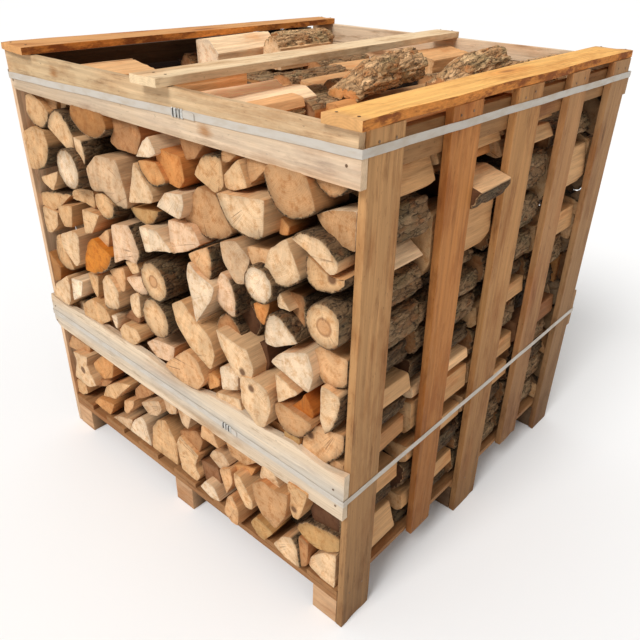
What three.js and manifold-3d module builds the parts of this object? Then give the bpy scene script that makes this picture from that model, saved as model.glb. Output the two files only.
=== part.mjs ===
// A slatted pallet crate of split birch firewood, in millimetres, +Z up.
// X runs right along the open front, where the log ends show, and Y runs to the back.
import * as THREE from 'three';
import { mergeVertices } from 'three/addons/utils/BufferGeometryUtils.js';
import Module from 'manifold-3d';

const wasm = await Module();
wasm.setup();

// Timber and the outer faces of the crate, measured from its front middle
const BOARD = 18;
const TOUCH = 0.3;
const RIGHT = 550;
const LEFT = -602;
const FRONT = -558;
const BACK = 576;
const RAIL_TOP = 1165;
const RAIL_BOTTOM = 1073;
const TOP_OF_BOARDS = RAIL_TOP + BOARD;

// Pallet base
const BLOCK_HEIGHT = 78;
const BLOCK_WIDTH = 75;
const BLOCK_LENGTH = 90;
const CROSS_TOP = BLOCK_HEIGHT + BOARD;
const DECK_TOP = CROSS_TOP + 16;
const DECK_WIDTH = 96;
const DECK_COUNT = 7;
const PALLET_LEFT = LEFT + BOARD;
const PALLET_RIGHT = RIGHT - BOARD;
const PALLET_FRONT = FRONT + BOARD;
const PALLET_BACK = BACK - BOARD;
const BLOCK_COLUMNS = { left: PALLET_LEFT, middle: -72, right: PALLET_RIGHT - BLOCK_WIDTH };
const BLOCK_ROWS = { front: PALLET_FRONT, mid: -40, back: PALLET_BACK - BLOCK_LENGTH };

// The inner rail that holds the slats of each side together at the top
const SIDE_RAIL_BOTTOM = 1082;
const SIDE_RAIL_TOP = 1147;

// Log ranks, front to back: where each begins and ends
const RANKS = [[-558, -308], [-300, -50], [-42, 208], [216, 548]];
const STACK_TOP = 1078;
const CORE_SETBACK = 62;
const ROOT_DEPTH = 20;
const LOG_SHRINK = 0.955;
const BACK_UNEVENNESS = 0.6;

// A corner of a split log stands out between the second and third slats
const POKE_TIP = 575;

// The straps are as wide as this, and run round the crate on a slight slant
const STRAP_WIDTH = 15;
const STRAP_THICK = 1;
const SEAL_WIDTH = 20;
const SEAL_THICK = 2.5;

// The model is centred on its own footprint
const TOP_BOARD_FRONT = -588;
const TOP_BOARD_BACK = 572;
const TOP_BOARD_END = 568;
const STRAP_BACK = BACK + TOUCH + STRAP_THICK;
const STRAP_LEFT = LEFT - TOUCH - STRAP_THICK;
const CENTRE_X = (STRAP_LEFT + POKE_TIP) / 2;
const CENTRE_Y = (TOP_BOARD_FRONT + STRAP_BACK) / 2;

// Finishes
function finish(color, roughness, metalness = 0) {
  return new THREE.MeshStandardMaterial({ color, roughness, metalness });
}
const PALE_TIMBER = finish(0xd8b98c, 0.75);
const BROWN_TIMBER = finish(0xa97c50, 0.8);
const ORANGE_TIMBER = finish(0xe2a45a, 0.7);
const GREY_TIMBER = finish(0xcfc2ac, 0.85);
const PALLET_TIMBER = finish(0x9a7048, 0.85);
const SPLIT_WOOD = finish(0xdcb88a, 0.8);
const BARK_WOOD = finish(0x6f5844, 0.95);
const STRAP_METAL = finish(0xd9d6cf, 0.45);

const crate = new THREE.Group();
crate.position.set(-CENTRE_X, -CENTRE_Y, 0);

function add(name, geometry, material) {
  const mesh = new THREE.Mesh(geometry, material);
  mesh.name = name;
  crate.add(mesh);
  return mesh;
}

// Shapes from outlines, each a list of [a, b] corners
function extruded(outline, depth, holes = []) {
  const shape = new THREE.Shape(outline.map(([a, b]) => new THREE.Vector2(a, b)));
  for (const hole of holes) {
    shape.holes.push(new THREE.Path(hole.map(([a, b]) => new THREE.Vector2(a, b))));
  }
  return new THREE.ExtrudeGeometry(shape, { depth, bevelEnabled: false, curveSegments: 4 });
}

// An outline in X and Z, run along Y from near to far
function alongY(outline, near, far) {
  return extruded(outline, far - near).rotateX(Math.PI / 2).translate(0, far, 0);
}

// An outline in Y and Z, run along X from left to right
function alongX(outline, left, right) {
  return extruded(outline, right - left).rotateX(Math.PI / 2).rotateZ(Math.PI / 2).translate(left, 0, 0);
}

// An outline in X and Y, run up from one height to another
function alongZ(outline, low, high) {
  return extruded(outline, high - low).translate(0, 0, low);
}

function box(left, right, near, far, low, high) {
  const geometry = new THREE.BoxGeometry(right - left, far - near, high - low);
  return geometry.translate((left + right) / 2, (near + far) / 2, (low + high) / 2);
}

// Pallet base: nine blocks, three cross boards and the deck boards
function palletBase() {
  for (const [row, near] of Object.entries(BLOCK_ROWS)) {
    const far = near + BLOCK_LENGTH;
    for (const [column, left] of Object.entries(BLOCK_COLUMNS)) {
      const block = box(left, left + BLOCK_WIDTH, near, far, 0, BLOCK_HEIGHT);
      add(`block_${row}_${column}`, block, PALLET_TIMBER);
    }
    const cross = box(PALLET_LEFT, PALLET_RIGHT, near, far, BLOCK_HEIGHT, CROSS_TOP);
    add(`cross_board_${row}`, cross, PALLET_TIMBER);
  }
  const pitch = (PALLET_RIGHT - PALLET_LEFT - DECK_WIDTH) / (DECK_COUNT - 1);
  for (let i = 0; i < DECK_COUNT; i += 1) {
    const left = PALLET_LEFT + i * pitch;
    const board = box(left, left + DECK_WIDTH, PALLET_FRONT, PALLET_BACK, CROSS_TOP, DECK_TOP);
    add(`deck_board_${i + 1}`, board, PALLET_TIMBER);
  }
}

// Side slats: foot height, then the near and far edge at the foot and at the top
const SLATS = [
  [0, -540, -438, -540, -447],
  [92, -268, -184, -305, -201],
  [0, -40, 72, -60, 50],
  [92, 205, 300, 198, 292],
  [0, 462, 558, 450, 558],
];

function sideSlats() {
  SLATS.forEach(([foot, footNear, footFar, topNear, topFar], i) => {
    const outline = [[footNear, foot], [footFar, foot], [topFar, RAIL_TOP], [topNear, RAIL_TOP]];
    const rightFinish = i === 1 ? ORANGE_TIMBER : BROWN_TIMBER;
    add(`slat_right_${i + 1}`, alongX(outline, PALLET_RIGHT, RIGHT), rightFinish);
    add(`slat_left_${i + 1}`, alongX(outline, LEFT, PALLET_LEFT), BROWN_TIMBER);
  });
  const ends = [PALLET_FRONT, PALLET_BACK, SIDE_RAIL_BOTTOM, SIDE_RAIL_TOP];
  add('side_rail_right', box(PALLET_RIGHT - BOARD, PALLET_RIGHT, ...ends), BROWN_TIMBER);
  add('side_rail_left', box(PALLET_LEFT, PALLET_LEFT + BOARD, ...ends), BROWN_TIMBER);
}

// Cross rails: a narrow upper board on a wider lower one, and the middle rail with its wavy top edge
const RAIL_LEFT = -561;
const UPPER_RAIL_RIGHT = 543;
const JOINT_LEFT = 1108;
const JOINT_RIGHT = 1128;
const CUT_CORNER = 13;
const MIDDLE_RAIL_LEFT = -586;
const MIDDLE_RAIL_BOTTOM = [[MIDDLE_RAIL_LEFT, 400], [-560, 384], [-200, 371], [RIGHT, 365]];
const MIDDLE_RAIL_EDGE = [
  [RIGHT, 488], [500, 478], [470, 480], [400, 491], [320, 484], [240, 488], [140, 482], [70, 468], [0, 470],
  [-110, 483], [-300, 489], [-400, 486], [-500, 478], [MIDDLE_RAIL_LEFT, 490],
];
const MIDDLE_RAIL = [...MIDDLE_RAIL_BOTTOM, ...MIDDLE_RAIL_EDGE];

function crossRails(end, near, far) {
  const upper = [
    [RAIL_LEFT, JOINT_LEFT], [UPPER_RAIL_RIGHT, JOINT_RIGHT],
    [UPPER_RAIL_RIGHT, RAIL_TOP], [RAIL_LEFT, RAIL_TOP],
  ];
  const lower = [
    [RAIL_LEFT, RAIL_BOTTOM + CUT_CORNER], [RAIL_LEFT + CUT_CORNER, RAIL_BOTTOM], [RIGHT, RAIL_BOTTOM],
    [RIGHT, JOINT_RIGHT - TOUCH], [RAIL_LEFT, JOINT_LEFT - TOUCH],
  ];
  add(`${end}_rail_upper`, alongY(upper, near, far), PALE_TIMBER);
  add(`${end}_rail_lower`, alongY(lower, near, far), PALE_TIMBER);
  add(`${end}_rail_middle`, alongY(MIDDLE_RAIL, near, far), GREY_TIMBER);
}

// Three boards lie front to back on the top rails, seen from above as [x, y] outlines
function topBoards() {
  const left = [
    [-560, -566], [-432, -578], [-440, -380], [-448, 0], [-456, 300],
    [-466, TOP_BOARD_END], [-540, TOP_BOARD_END], [-545, 0],
  ];
  const middle = [[7, TOP_BOARD_FRONT], [90, TOP_BOARD_FRONT], [30, TOP_BOARD_END], [-52, TOP_BOARD_END]];
  const right = [
    [474, -568], [556, -568], [549, -440], [553, -300], [546, -120], [551, 80], [543, 300],
    [546, TOP_BOARD_BACK], [446, TOP_BOARD_BACK], [452, 100],
  ];
  add('top_board_left', alongZ(left, RAIL_TOP, TOP_OF_BOARDS), ORANGE_TIMBER);
  add('top_board_middle', alongZ(middle, RAIL_TOP, TOP_OF_BOARDS), PALE_TIMBER);
  add('top_board_right', alongZ(right, RAIL_TOP, TOP_OF_BOARDS), ORANGE_TIMBER);
}

// Straps: a flat band round the crate, clear of the timber by a touch, on a slant that is [per X, per Y]
function grown(outline, by) {
  const count = outline.length;
  return outline.map(([x, y], i) => {
    const [px, py] = outline[(i + count - 1) % count];
    const [nx, ny] = outline[(i + 1) % count];
    const before = new THREE.Vector2(y - py, px - x).normalize();
    const after = new THREE.Vector2(ny - y, x - nx).normalize();
    const mitre = before.add(after);
    mitre.multiplyScalar(2 * by / mitre.lengthSq());
    return [x + mitre.x, y + mitre.y];
  });
}

function slant(geometry, [perX, perY]) {
  const place = geometry.attributes.position;
  for (let i = 0; i < place.count; i += 1) {
    const rise = perX * (place.getX(i) - RIGHT) + perY * (place.getY(i) - FRONT);
    place.setZ(i, place.getZ(i) + rise);
  }
  return geometry;
}

function strap(name, middle, slope, railLeft, sealLeft, sealWidth) {
  const path = [
    [railLeft, FRONT], [RIGHT, FRONT], [RIGHT, BACK], [railLeft, BACK],
    [LEFT, PALLET_BACK], [LEFT, PALLET_FRONT],
  ];
  const inner = grown(path, TOUCH);
  const outer = grown(path, TOUCH + STRAP_THICK);
  const band = extruded(outer, STRAP_WIDTH, [inner]).translate(0, 0, middle - STRAP_WIDTH / 2);
  add(name, slant(band, slope), STRAP_METAL);
  const face = FRONT - TOUCH - STRAP_THICK - TOUCH;
  const low = middle - SEAL_WIDTH / 2;
  const seal = box(sealLeft, sealLeft + sealWidth, face - SEAL_THICK, face, low, low + SEAL_WIDTH);
  add(`${name}_seal`, slant(seal, slope), STRAP_METAL);
}

// Log ends in the front rank, traced as they line up on the front face from this eye point.
// Each is [setback, bulge of the bark side, corners x, z, x, z ...]: the bark side runs from the
// last corner back to the first. A log further in keeps to its line of sight.
const EYE = [1137, -1321, 1398];
const SPLIT_LOGS = [
  [15, 0.3, -394, 1038, -425, 1062, -470, 1077, -498, 1068, -510, 1022],
  [30, 0, -435, 1077, -345, 1077, -350, 1055, -385, 1047],
  [40, 0, -335, 1077, -300, 1077, -315, 1058, -335, 1052],
  [10, 0.4, -415, 1003, -335, 965, -302, 960, -300, 1010],
  [0, 0.22, -150, 1042, -160, 1077, -288, 1077, -297, 1048],
  [20, 0, -142, 1020, -120, 1052, -125, 1077, -30, 1077, -22, 1050, -45, 1010, -115, 1008],
  [10, 0.15, -502, 880, -545, 874, -552, 968, -500, 990, -440, 990, -430, 950],
  [5, 0.1, -262, 998, -300, 1003, -295, 965, -262, 938],
  [0, 0, -262, 935, -212, 975, -130, 982, -105, 900, -110, 872, -150, 872, -200, 892, -250, 885],
  [0, 0, -98, 892, -62, 992, -20, 955, 0, 930, -8, 912],
  [15, 0.3, 15, 902, -95, 885, -95, 875],
  [20, 0, -498, 862, -402, 898, -415, 870, -445, 835, -490, 848],
  [30, 0, -535, 780, -525, 812, -465, 830, -400, 840, -352, 848, -420, 800, -460, 778],
  [20, 0, -350, 838, -345, 862, -300, 878, -247, 885, -247, 838, -290, 842],
  [5, 0.25, -215, 825, -243, 850, -240, 880, -200, 890, -160, 868],
  [15, 0, -440, 775, -435, 798, -360, 818, -380, 752, -420, 745],
  [5, 0, -315, 822, -235, 825, -280, 765, -318, 755],
  [25, 0, -527, 775, -445, 778, -455, 735, -500, 703, -525, 703],
  [-5, 0.12, -205, 725, -285, 752, -310, 735, -340, 680, -345, 643, -290, 652],
  [10, 0, -268, 755, -210, 798, -200, 790, -218, 732],
  [0, 0, -188, 815, -110, 835, -80, 775, -95, 742, -150, 737, -195, 712],
  [20, 0.5, -480, 700, -455, 715, -408, 622],
  [0, 0, -452, 715, -380, 745, -355, 735, -372, 655, -395, 637, -448, 675],
  [15, 0.1, -120, 660, -158, 688, -125, 700, -85, 715, -65, 672],
  [30, 0, -150, 735, -98, 748, -90, 722, -122, 705],
  [10, 0, -230, 685, -160, 712, -155, 690, -165, 645, -182, 637],
  [0, 0.1, -275, 563, -270, 640, -245, 665, -222, 655, -200, 630, -205, 580],
  [15, 0, -340, 640, -285, 648, -305, 572, -325, 590],
  [40, 0, -205, 620, -160, 640, -152, 612, -190, 598],
  [10, 0, -150, 640, -115, 660, -105, 650, -108, 595, -125, 582, -150, 600],
  [25, 0, -185, 565, -150, 603, -110, 590, -120, 570],
  [-5, 0, -50, 1005, -20, 1045, 3, 1060, 25, 1025, 0, 1012],
  [10, 0, 25, 1005, 22, 1040, 105, 1037, 112, 990, 95, 968, 60, 972],
  [0, 0.3, 52, 971, 20, 1010, -48, 1000],
  [-5, 0, 5, 910, 40, 950, 100, 960, 102, 935, 85, 900],
  [20, 0, 105, 1077, 185, 1077, 150, 1040, 122, 1033],
  [10, 0, 143, 1010, 172, 1055, 225, 1062, 232, 1005, 205, 985],
  [0, 0, 230, 1030, 272, 1068, 297, 1018, 250, 1002, 235, 1005],
  [30, 0, 228, 1077, 275, 1077, 250, 1055, 228, 1050],
  [10, 0, 292, 1077, 362, 1077, 302, 1025],
  [0, 0.36, 461, 1018, 435, 1077, 350, 1077, 336, 1058],
  [15, 0.33, 532, 1076, 490, 1077, 452, 1076],
  [18, 0, 460, 1014, 497, 1032, 546, 1042, 546, 970, 515, 973, 474, 996],
  [-15, 0.25, 332, 932, 338, 1008, 300, 1002, 205, 990],
  [30, 0, 372, 992, 402, 975, 398, 955, 373, 952],
  [-10, 0, 402, 955, 425, 972, 470, 975, 512, 945, 512, 922, 495, 912, 440, 940],
  [-5, 0.45, 440, 938, 492, 912, 545, 918, 512, 885],
  [20, 0, 285, 905, 350, 918, 345, 880, 300, 868],
  [-5, 0.15, 345, 853, 330, 868, 345, 915, 392, 952, 428, 880],
  [20, 0.16, 105, 905, 108, 932, 150, 988, 203, 985, 250, 918],
  [5, 0, 42, 892, 122, 898, 148, 862, 95, 832, 45, 812],
  [-5, 0, -72, 845, -5, 852, 48, 815, -15, 800, -55, 783],
  [0, 0.1, 125, 797, 102, 832, 172, 868, 182, 835, 172, 790],
  [-10, 0, 90, 780, 100, 812, 128, 792, 182, 780, 170, 745, 112, 667, 98, 740],
  [5, 0.1, 190, 747, 188, 785, 205, 825, 235, 815, 250, 780, 245, 730],
  [35, 0, 255, 800, 268, 812, 292, 790, 325, 742, 300, 705, 258, 730],
  [5, 0, 208, 890, 255, 905, 296, 880, 275, 818, 250, 812, 215, 850],
  [15, 0, 365, 845, 405, 805, 367, 802],
  [30, 0, 385, 848, 438, 852, 440, 778, 415, 780, 405, 810],
  [20, 0, 298, 788, 350, 805, 330, 745, 308, 757],
  [-5, 0.6, 328, 706, 360, 708, 425, 745],
  [-5, 0, 345, 670, 375, 705, 446, 735, 462, 690, 450, 642, 400, 655],
  [15, 0.45, 552, 712, 548, 762, 478, 766, 458, 745],
  [0, 0, 480, 678, 532, 672, 520, 600, 495, 565, 480, 600],
  [20, 0.5, 268, 690, 220, 683, 178, 685],
  [-5, 0, 25, 682, 65, 705, 112, 668, 155, 650, 168, 605, 150, 558, 80, 590, 38, 632],
  [-10, 0, 178, 678, 250, 665, 275, 668, 294, 625, 288, 590, 262, 578, 228, 592, 192, 638],
  [30, 0, 285, 690, 335, 712, 345, 660, 318, 610, 298, 630],
  [-5, 0, 357, 650, 425, 628, 365, 575],
  [8, 0, 440, 640, 468, 600, 450, 565, 385, 570, 430, 618],
  [30, 0, -540, 545, -540, 640, -485, 605, -500, 560],
  [0, 0, -560, 492, -535, 540, -460, 588, -452, 560, -465, 505, -480, 485],
  [-5, 0, -438, 590, -375, 600, -395, 548, -445, 515],
  [5, 0, -395, 525, -345, 560, -275, 555, -258, 525, -315, 488, -395, 488],
  [0, 0, -255, 545, -222, 555, -225, 515, -238, 508],
  [5, 0, -220, 515, -195, 542, -140, 545, -122, 522, -160, 488, -215, 490],
  [15, 0, -100, 525, -62, 552, 20, 562, 5, 510, -60, 497],
  [-5, 0, -20, 502, 60, 572, 105, 560, 125, 515, 95, 475, 35, 468, -30, 485],
  [10, 0, 130, 535, 150, 552, 180, 550, 182, 528, 142, 497],
  [0, 0, 182, 582, 215, 600, 245, 592, 242, 545, 188, 522],
  [-15, 0, 250, 590, 300, 600, 335, 590, 345, 550, 325, 490, 300, 478, 252, 518],
  [20, 0, 165, 505, 245, 525, 255, 480, 160, 482],
  [10, 0, 380, 515, 430, 518, 425, 482, 385, 482],
  [15, 0, 435, 495, 440, 540, 465, 575, 545, 590, 548, 560, 520, 515, 485, 482],
  [25, 0, -540, 322, -500, 378, -400, 380, -410, 345, -465, 335],
  [0, 0, -515, 315, -430, 330, -442, 295, -405, 240, -455, 212, -530, 218, -500, 290],
  [35, 0, -440, 292, -405, 345, -392, 300, -415, 262],
  [0, 0, -398, 325, -365, 358, -340, 376, -282, 375, -302, 318, -350, 292, -390, 305],
  [20, 0, -400, 270, -350, 290, -300, 310, -340, 270, -395, 243],
  [5, 0, -370, 222, -345, 270, -280, 315, -205, 342, -262, 285, -300, 245],
  [10, 0, -190, 335, -150, 376, -85, 376, -140, 330, -190, 302],
  [-5, 0, -168, 302, -125, 330, -80, 352, -70, 325, -90, 295, -135, 277],
  [10, 0, -265, 225, -255, 265, -200, 292, -210, 262, -250, 215],
  [24, 0, -248, 160, -220, 212, -175, 250, -155, 232, -142, 160],
  [24, 0, -138, 162, -125, 240, -98, 278, -60, 300, -18, 240, -22, 165],
  [27, 0, -555, 175, -520, 212, -470, 215, -468, 180, -500, 160, -545, 158],
  [28, 0, -435, 165, -405, 198, -315, 218, -335, 180, -350, 160],
  [28, 0, -335, 162, -300, 185, -225, 212, -240, 160],
  [10, 0, -58, 376, 0, 376, -5, 345, -35, 332, -55, 345],
  [5, 0, 2, 376, 60, 376, 40, 322, 15, 330],
  [0, 0, 88, 328, 98, 374, 140, 374, 160, 328],
  [5, 0, 185, 374, 300, 374, 255, 335, 205, 335],
  [10, 0, 302, 330, 310, 374, 352, 374, 372, 332],
  [-5, 0, 390, 374, 452, 374, 440, 320, 425, 280, 408, 277, 398, 300],
  [18, 0, 417, 258, 453, 296, 545, 314, 545, 272, 517, 247, 483, 233, 443, 238],
  [30, 0, 450, 374, 545, 374, 545, 315, 470, 315],
  [-15, 0, 273, 290, 308, 322, 350, 318, 392, 335, 385, 262, 352, 198, 308, 212, 283, 245],
  [25, 0, -18, 245, 0, 280, 35, 268, 75, 255, 55, 210, 75, 185, 57, 158, -5, 163],
  [35, 0, 2, 300, 80, 342, 98, 315, 75, 262, 35, 272, 8, 284],
  [10, 0, 118, 285, 138, 315, 172, 325, 200, 300, 162, 265],
  [0, 0, 153, 262, 198, 290, 205, 245, 178, 193],
  [-10, 0, 208, 285, 232, 285, 275, 232, 272, 203, 248, 195, 212, 245],
  [20, 0, 198, 302, 245, 335, 292, 350, 270, 305, 232, 290],
  [15, 0, 68, 148, 95, 185, 130, 180, 150, 145, 110, 135],
  [-5, 0, 162, 122, 178, 185, 198, 200, 222, 160, 215, 106, 190, 102],
  [10, 0, 262, 165, 285, 200, 345, 185, 308, 130, 285, 140],
  [8, 0, 342, 150, 375, 198, 405, 217, 420, 203, 432, 128, 398, 126],
  [22, 0, 458, 162, 466, 195, 489, 224, 505, 238, 538, 254, 538, 146, 496, 148],
  [-6, 0, 462, 573, 372, 580, 356, 572, 356, 550, 372, 520, 398, 511, 431, 520, 450, 545],
  [35, 0, 425, 240, 458, 235, 455, 160, 432, 140],
  [40, 0, 80, 250, 150, 262, 165, 195, 100, 185],
];

// Unsplit rounds in the front rank: [setback, centre x, centre z, radius]
const ROUND_LOGS = [
  [-15, -350, 913, 50],
  [-5, -37, 716, 50],
  [-5, -47, 615, 52],
  [-15, 485, 808, 44],
  [-15, 316, 832, 41],
];

// Logs behind the middle rail, where only their upper edges could show
const HIDDEN_ROW = { first: -560, pitch: 110, count: 10, low: 386, high: 476, width: 96, setback: 30 };

// Split logs that lie on a rank and are fused with it, their outlines in X and Z
const FRONT_TOP_LOG = {
  near: -532, far: -309, outline: [[-490, 1060], [-280, 1060], [-280, 1130], [-385, 1144], [-490, 1112]],
};
const SECOND_TOP_LOG = {
  near: -290, far: -55, outline: [[158, 1060], [256, 1060], [256, 1100], [215, 1112], [160, 1108]],
};

function topLog({ near, far, outline }) {
  return alongY(outline, near, far);
}

// Where a point traced on the front face lies on a log end set back from it
function alongSight(a, b, setback) {
  const reach = (FRONT - EYE[1] + setback) / (FRONT - EYE[1]);
  return [EYE[0] + (a - EYE[0]) * reach, EYE[2] + (b - EYE[2]) * reach];
}

function within([x, z]) {
  const margin = 0.5;
  return [
    THREE.MathUtils.clamp(x, PALLET_LEFT + margin, PALLET_RIGHT - margin),
    THREE.MathUtils.clamp(z, DECK_TOP + margin, STACK_TOP),
  ];
}

// A bark side as a few points on its arc between two corners, away from the log's middle
function barkSide([ax, az], [bx, bz], [mx, mz], bulge) {
  const steps = bulge > 0.3 ? 4 : 2;
  const chordX = bx - ax;
  const chordZ = bz - az;
  const outward = Math.sign((ax - mx) * chordZ - (az - mz) * chordX);
  const points = [];
  for (let i = 1; i < steps; i += 1) {
    const t = i / steps;
    const rise = 4 * bulge * t * (1 - t) * outward;
    points.push([ax + chordX * t + chordZ * rise, az + chordZ * t - chordX * rise]);
  }
  return points;
}

function logOutline([setback, bulge, ...numbers]) {
  const corners = [];
  for (let i = 0; i < numbers.length; i += 2) {
    corners.push([numbers[i], numbers[i + 1]]);
  }
  const middle = [0, 1].map((k) => corners.reduce((sum, corner) => sum + corner[k], 0) / corners.length);
  const full = [...corners];
  if (bulge > 0) {
    full.push(...barkSide(corners.at(-1), corners[0], middle, bulge));
  }
  const outline = full.map((point) => point.map((v, k) => middle[k] + (v - middle[k]) * LOG_SHRINK));
  return { setback, outline };
}

function roundOutline([setback, x, z, radius]) {
  const sides = 10;
  const outline = Array.from({ length: sides }, (_, i) => {
    const turn = (i / sides) * 2 * Math.PI;
    return [x + radius * Math.cos(turn), z + radius * Math.sin(turn)];
  });
  return { setback, outline };
}

function hiddenOutline(i) {
  const { first, pitch, width, low, high, setback } = HIDDEN_ROW;
  const left = first + i * pitch;
  const right = left + width;
  return { setback, outline: [[left, low], [right, low], [right, high], [left, high]] };
}

function allLogEnds() {
  const hidden = Array.from({ length: HIDDEN_ROW.count }, (_, i) => hiddenOutline(i));
  return [...SPLIT_LOGS.map(logOutline), ...ROUND_LOGS.map(roundOutline), ...hidden];
}

// Booleans
function solid(geometry) {
  const bare = geometry.clone();
  bare.deleteAttribute('normal');
  bare.deleteAttribute('uv');
  const merged = mergeVertices(bare, 0.001);
  return new wasm.Manifold(new wasm.Mesh({
    numProp: 3,
    vertProperties: new Float32Array(merged.attributes.position.array),
    triVerts: new Uint32Array(merged.index.array),
  }));
}

function geometryOf(manifold) {
  const mesh = manifold.getMesh();
  const geometry = new THREE.BufferGeometry();
  geometry.setAttribute('position', new THREE.BufferAttribute(new Float32Array(mesh.vertProperties), 3));
  geometry.setIndex(new THREE.BufferAttribute(new Uint32Array(mesh.triVerts), 1));
  geometry.computeVertexNormals();
  return geometry;
}

// The bulk of a rank: a block whose sides and top are uneven, as the logs at its edges are
function rankBulk(phase, near, far) {
  const left = PALLET_LEFT + 1;
  const right = PALLET_RIGHT - 1;
  const low = DECK_TOP + TOUCH;
  const shoulder = 12;
  const levels = 11;
  const rise = (STACK_TOP - shoulder - low) / levels;
  const notch = (i, k) => 8 + 9 * Math.sin(1.7 * i + phase + k) ** 2;
  const rightSide = [];
  const leftSide = [];
  for (let i = 0; i <= levels; i += 1) {
    const z = low + i * rise;
    rightSide.push([i % 2 ? right : right - notch(i, 0), z]);
    leftSide.unshift([i % 2 ? left : left + notch(i, 2), z]);
  }
  const top = [];
  for (let i = 1; i < levels; i += 1) {
    const x = right - ((right - left) * i) / levels;
    top.push([x, STACK_TOP - notch(i, 4) * (i % 2 ? 0.2 : 0.8)]);
  }
  return alongY([...rightSide, ...top, ...leftSide], near, far);
}

function fused(bulk, ends) {
  return wasm.Manifold.union([solid(bulk), ...ends.map(solid)]);
}

// The rails press into the log ends, which are hollowed round them by a touch
function clearOfRails(manifold, near, far) {
  const outlines = [
    [[RAIL_LEFT, RAIL_BOTTOM], [RIGHT, RAIL_BOTTOM], [RIGHT, RAIL_TOP], [RAIL_LEFT, RAIL_TOP]],
    MIDDLE_RAIL,
  ];
  return outlines.reduce((rest, outline) => {
    return rest.subtract(solid(alongY(grown(outline, TOUCH), near - TOUCH, far + TOUCH)));
  }, manifold);
}

// Front rank, with every log end that shows
function frontRank() {
  const [near, far] = RANKS[0];
  const root = near + CORE_SETBACK;
  const ends = allLogEnds().map(({ setback, outline }) => {
    const placed = outline.map(([x, z]) => within(alongSight(x, z, setback)));
    return alongY(placed, near + setback, root + ROOT_DEPTH);
  });
  const parts = [...ends, topLog(FRONT_TOP_LOG)];
  const stack = clearOfRails(fused(rankBulk(0, root, far), parts), FRONT, FRONT + BOARD);
  add('logs_front_rank', geometryOf(stack), SPLIT_WOOD);
}

// Back rank: the same kind of stack turned round, so its ends show at the back
function backRank() {
  const [near, far] = RANKS[3];
  const root = far - CORE_SETBACK;
  const middle = PALLET_LEFT + PALLET_RIGHT;
  const ends = allLogEnds().map(({ setback, outline }) => {
    const turned = outline.map(([x, z]) => within([middle - x, z])).reverse();
    return alongY(turned, root - ROOT_DEPTH, far - setback * BACK_UNEVENNESS);
  });
  add('logs_back_rank', geometryOf(fused(rankBulk(3, near, root), ends)), SPLIT_WOOD);
}

// Inner ranks, of which only the sides and tops show between the slats and boards
function innerRanks() {
  const poke = alongY([[470, 966], [560, 966], [POKE_TIP, 988], [505, 1012], [470, 1010]], -176, -82);
  const second = fused(rankBulk(1, ...RANKS[1]), [poke, topLog(SECOND_TOP_LOG)]);
  add('logs_second_rank', geometryOf(second), SPLIT_WOOD);
  add('logs_third_rank', rankBulk(2, ...RANKS[2]), SPLIT_WOOD);
}

// Loose logs on top: the middle of the near and far end, the finish, and corners x, z about that middle
const LOOSE_LOGS = [
  [[-405, -60, 1132], [-402, 175, 1136], SPLIT_WOOD, [[-45, -50], [48, -50], [54, 2], [12, 38], [-45, 30]]],
  [
    [-300, 95, 1146], [-310, 332, 1146], SPLIT_WOOD,
    [[-37, -64], [37, -64], [37, 4], [24, 30], [0, 38], [-24, 30], [-37, 4]],
  ],
  [
    [-400, 215, 1138], [-408, 455, 1140], BARK_WOOD,
    [[-30, -46], [32, -46], [46, -12], [38, 24], [4, 38], [-34, 28], [-46, -12]],
  ],
  [[-155, -420, 1110], [-155, -178, 1112], SPLIT_WOOD, [[-46, -30], [45, -30], [45, 26], [-30, 32]]],
  [[0, -418, 1100], [0, -178, 1100], SPLIT_WOOD, [[-40, -20], [40, -20], [42, -2], [-8, 26], [-38, 16]]],
  [[88, -418, 1100], [88, -180, 1102], SPLIT_WOOD, [[-40, -20], [38, -20], [42, 4], [6, 22], [-38, 20]]],
  [
    [182, -535, 1110], [178, -298, 1112], SPLIT_WOOD,
    [[-46, -30], [32, -30], [47, -6], [36, 20], [-10, 32], [-44, 10]],
  ],
  [
    [216, -200, 1152], [190, 95, 1158], BARK_WOOD,
    [[-40, -38], [38, -38], [55, 2], [40, 42], [4, 55], [-38, 42], [-55, 4]],
  ],
  [[320, -222, 1093], [306, 8, 1095], SPLIT_WOOD, [[-46, -14], [48, -14], [48, 22], [14, 30], [-46, 24]]],
  [
    [320, 15, 1144], [330, 255, 1162], BARK_WOOD,
    [[-38, -40], [40, -40], [52, -4], [38, 38], [2, 50], [-40, 34], [-50, 0]],
  ],
  [[60, 300, 1122], [46, 532, 1122], SPLIT_WOOD, [[-58, -42], [54, -42], [60, 14], [-20, 30], [-56, 20]]],
  [
    [366, 300, 1124], [362, 532, 1126], BARK_WOOD,
    [[-36, -44], [36, -44], [46, -6], [34, 32], [0, 42], [-36, 30], [-46, -6]],
  ],
];

function looseLogs() {
  LOOSE_LOGS.forEach(([near, far, material, outline], i) => {
    const start = new THREE.Vector3(...near);
    const along = new THREE.Vector3(...far).sub(start);
    const log = add(`loose_log_${i + 1}`, alongY(outline, 0, along.length()), material);
    log.position.copy(start);
    log.quaternion.setFromUnitVectors(new THREE.Vector3(0, 1, 0), along.normalize());
  });
}

palletBase();
sideSlats();
crossRails('front', FRONT, FRONT + BOARD);
crossRails('back', BACK - BOARD, BACK);
topBoards();
strap('upper_strap', 1131, [25 / 1110, -7 / 1116], RAIL_LEFT, 92, 36);
strap('lower_strap', 414, [-16 / 1138, 4 / 1116], MIDDLE_RAIL_LEFT, 180, 34);
frontRank();
innerRanks();
backRank();
looseLogs();

export default crate;
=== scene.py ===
# A slatted pallet crate of split birch firewood: sawn timber, split logs with bark, straps and nails
import math
import random

import bmesh
import bpy
import numpy as np
from mathutils import Matrix, Vector


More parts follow.
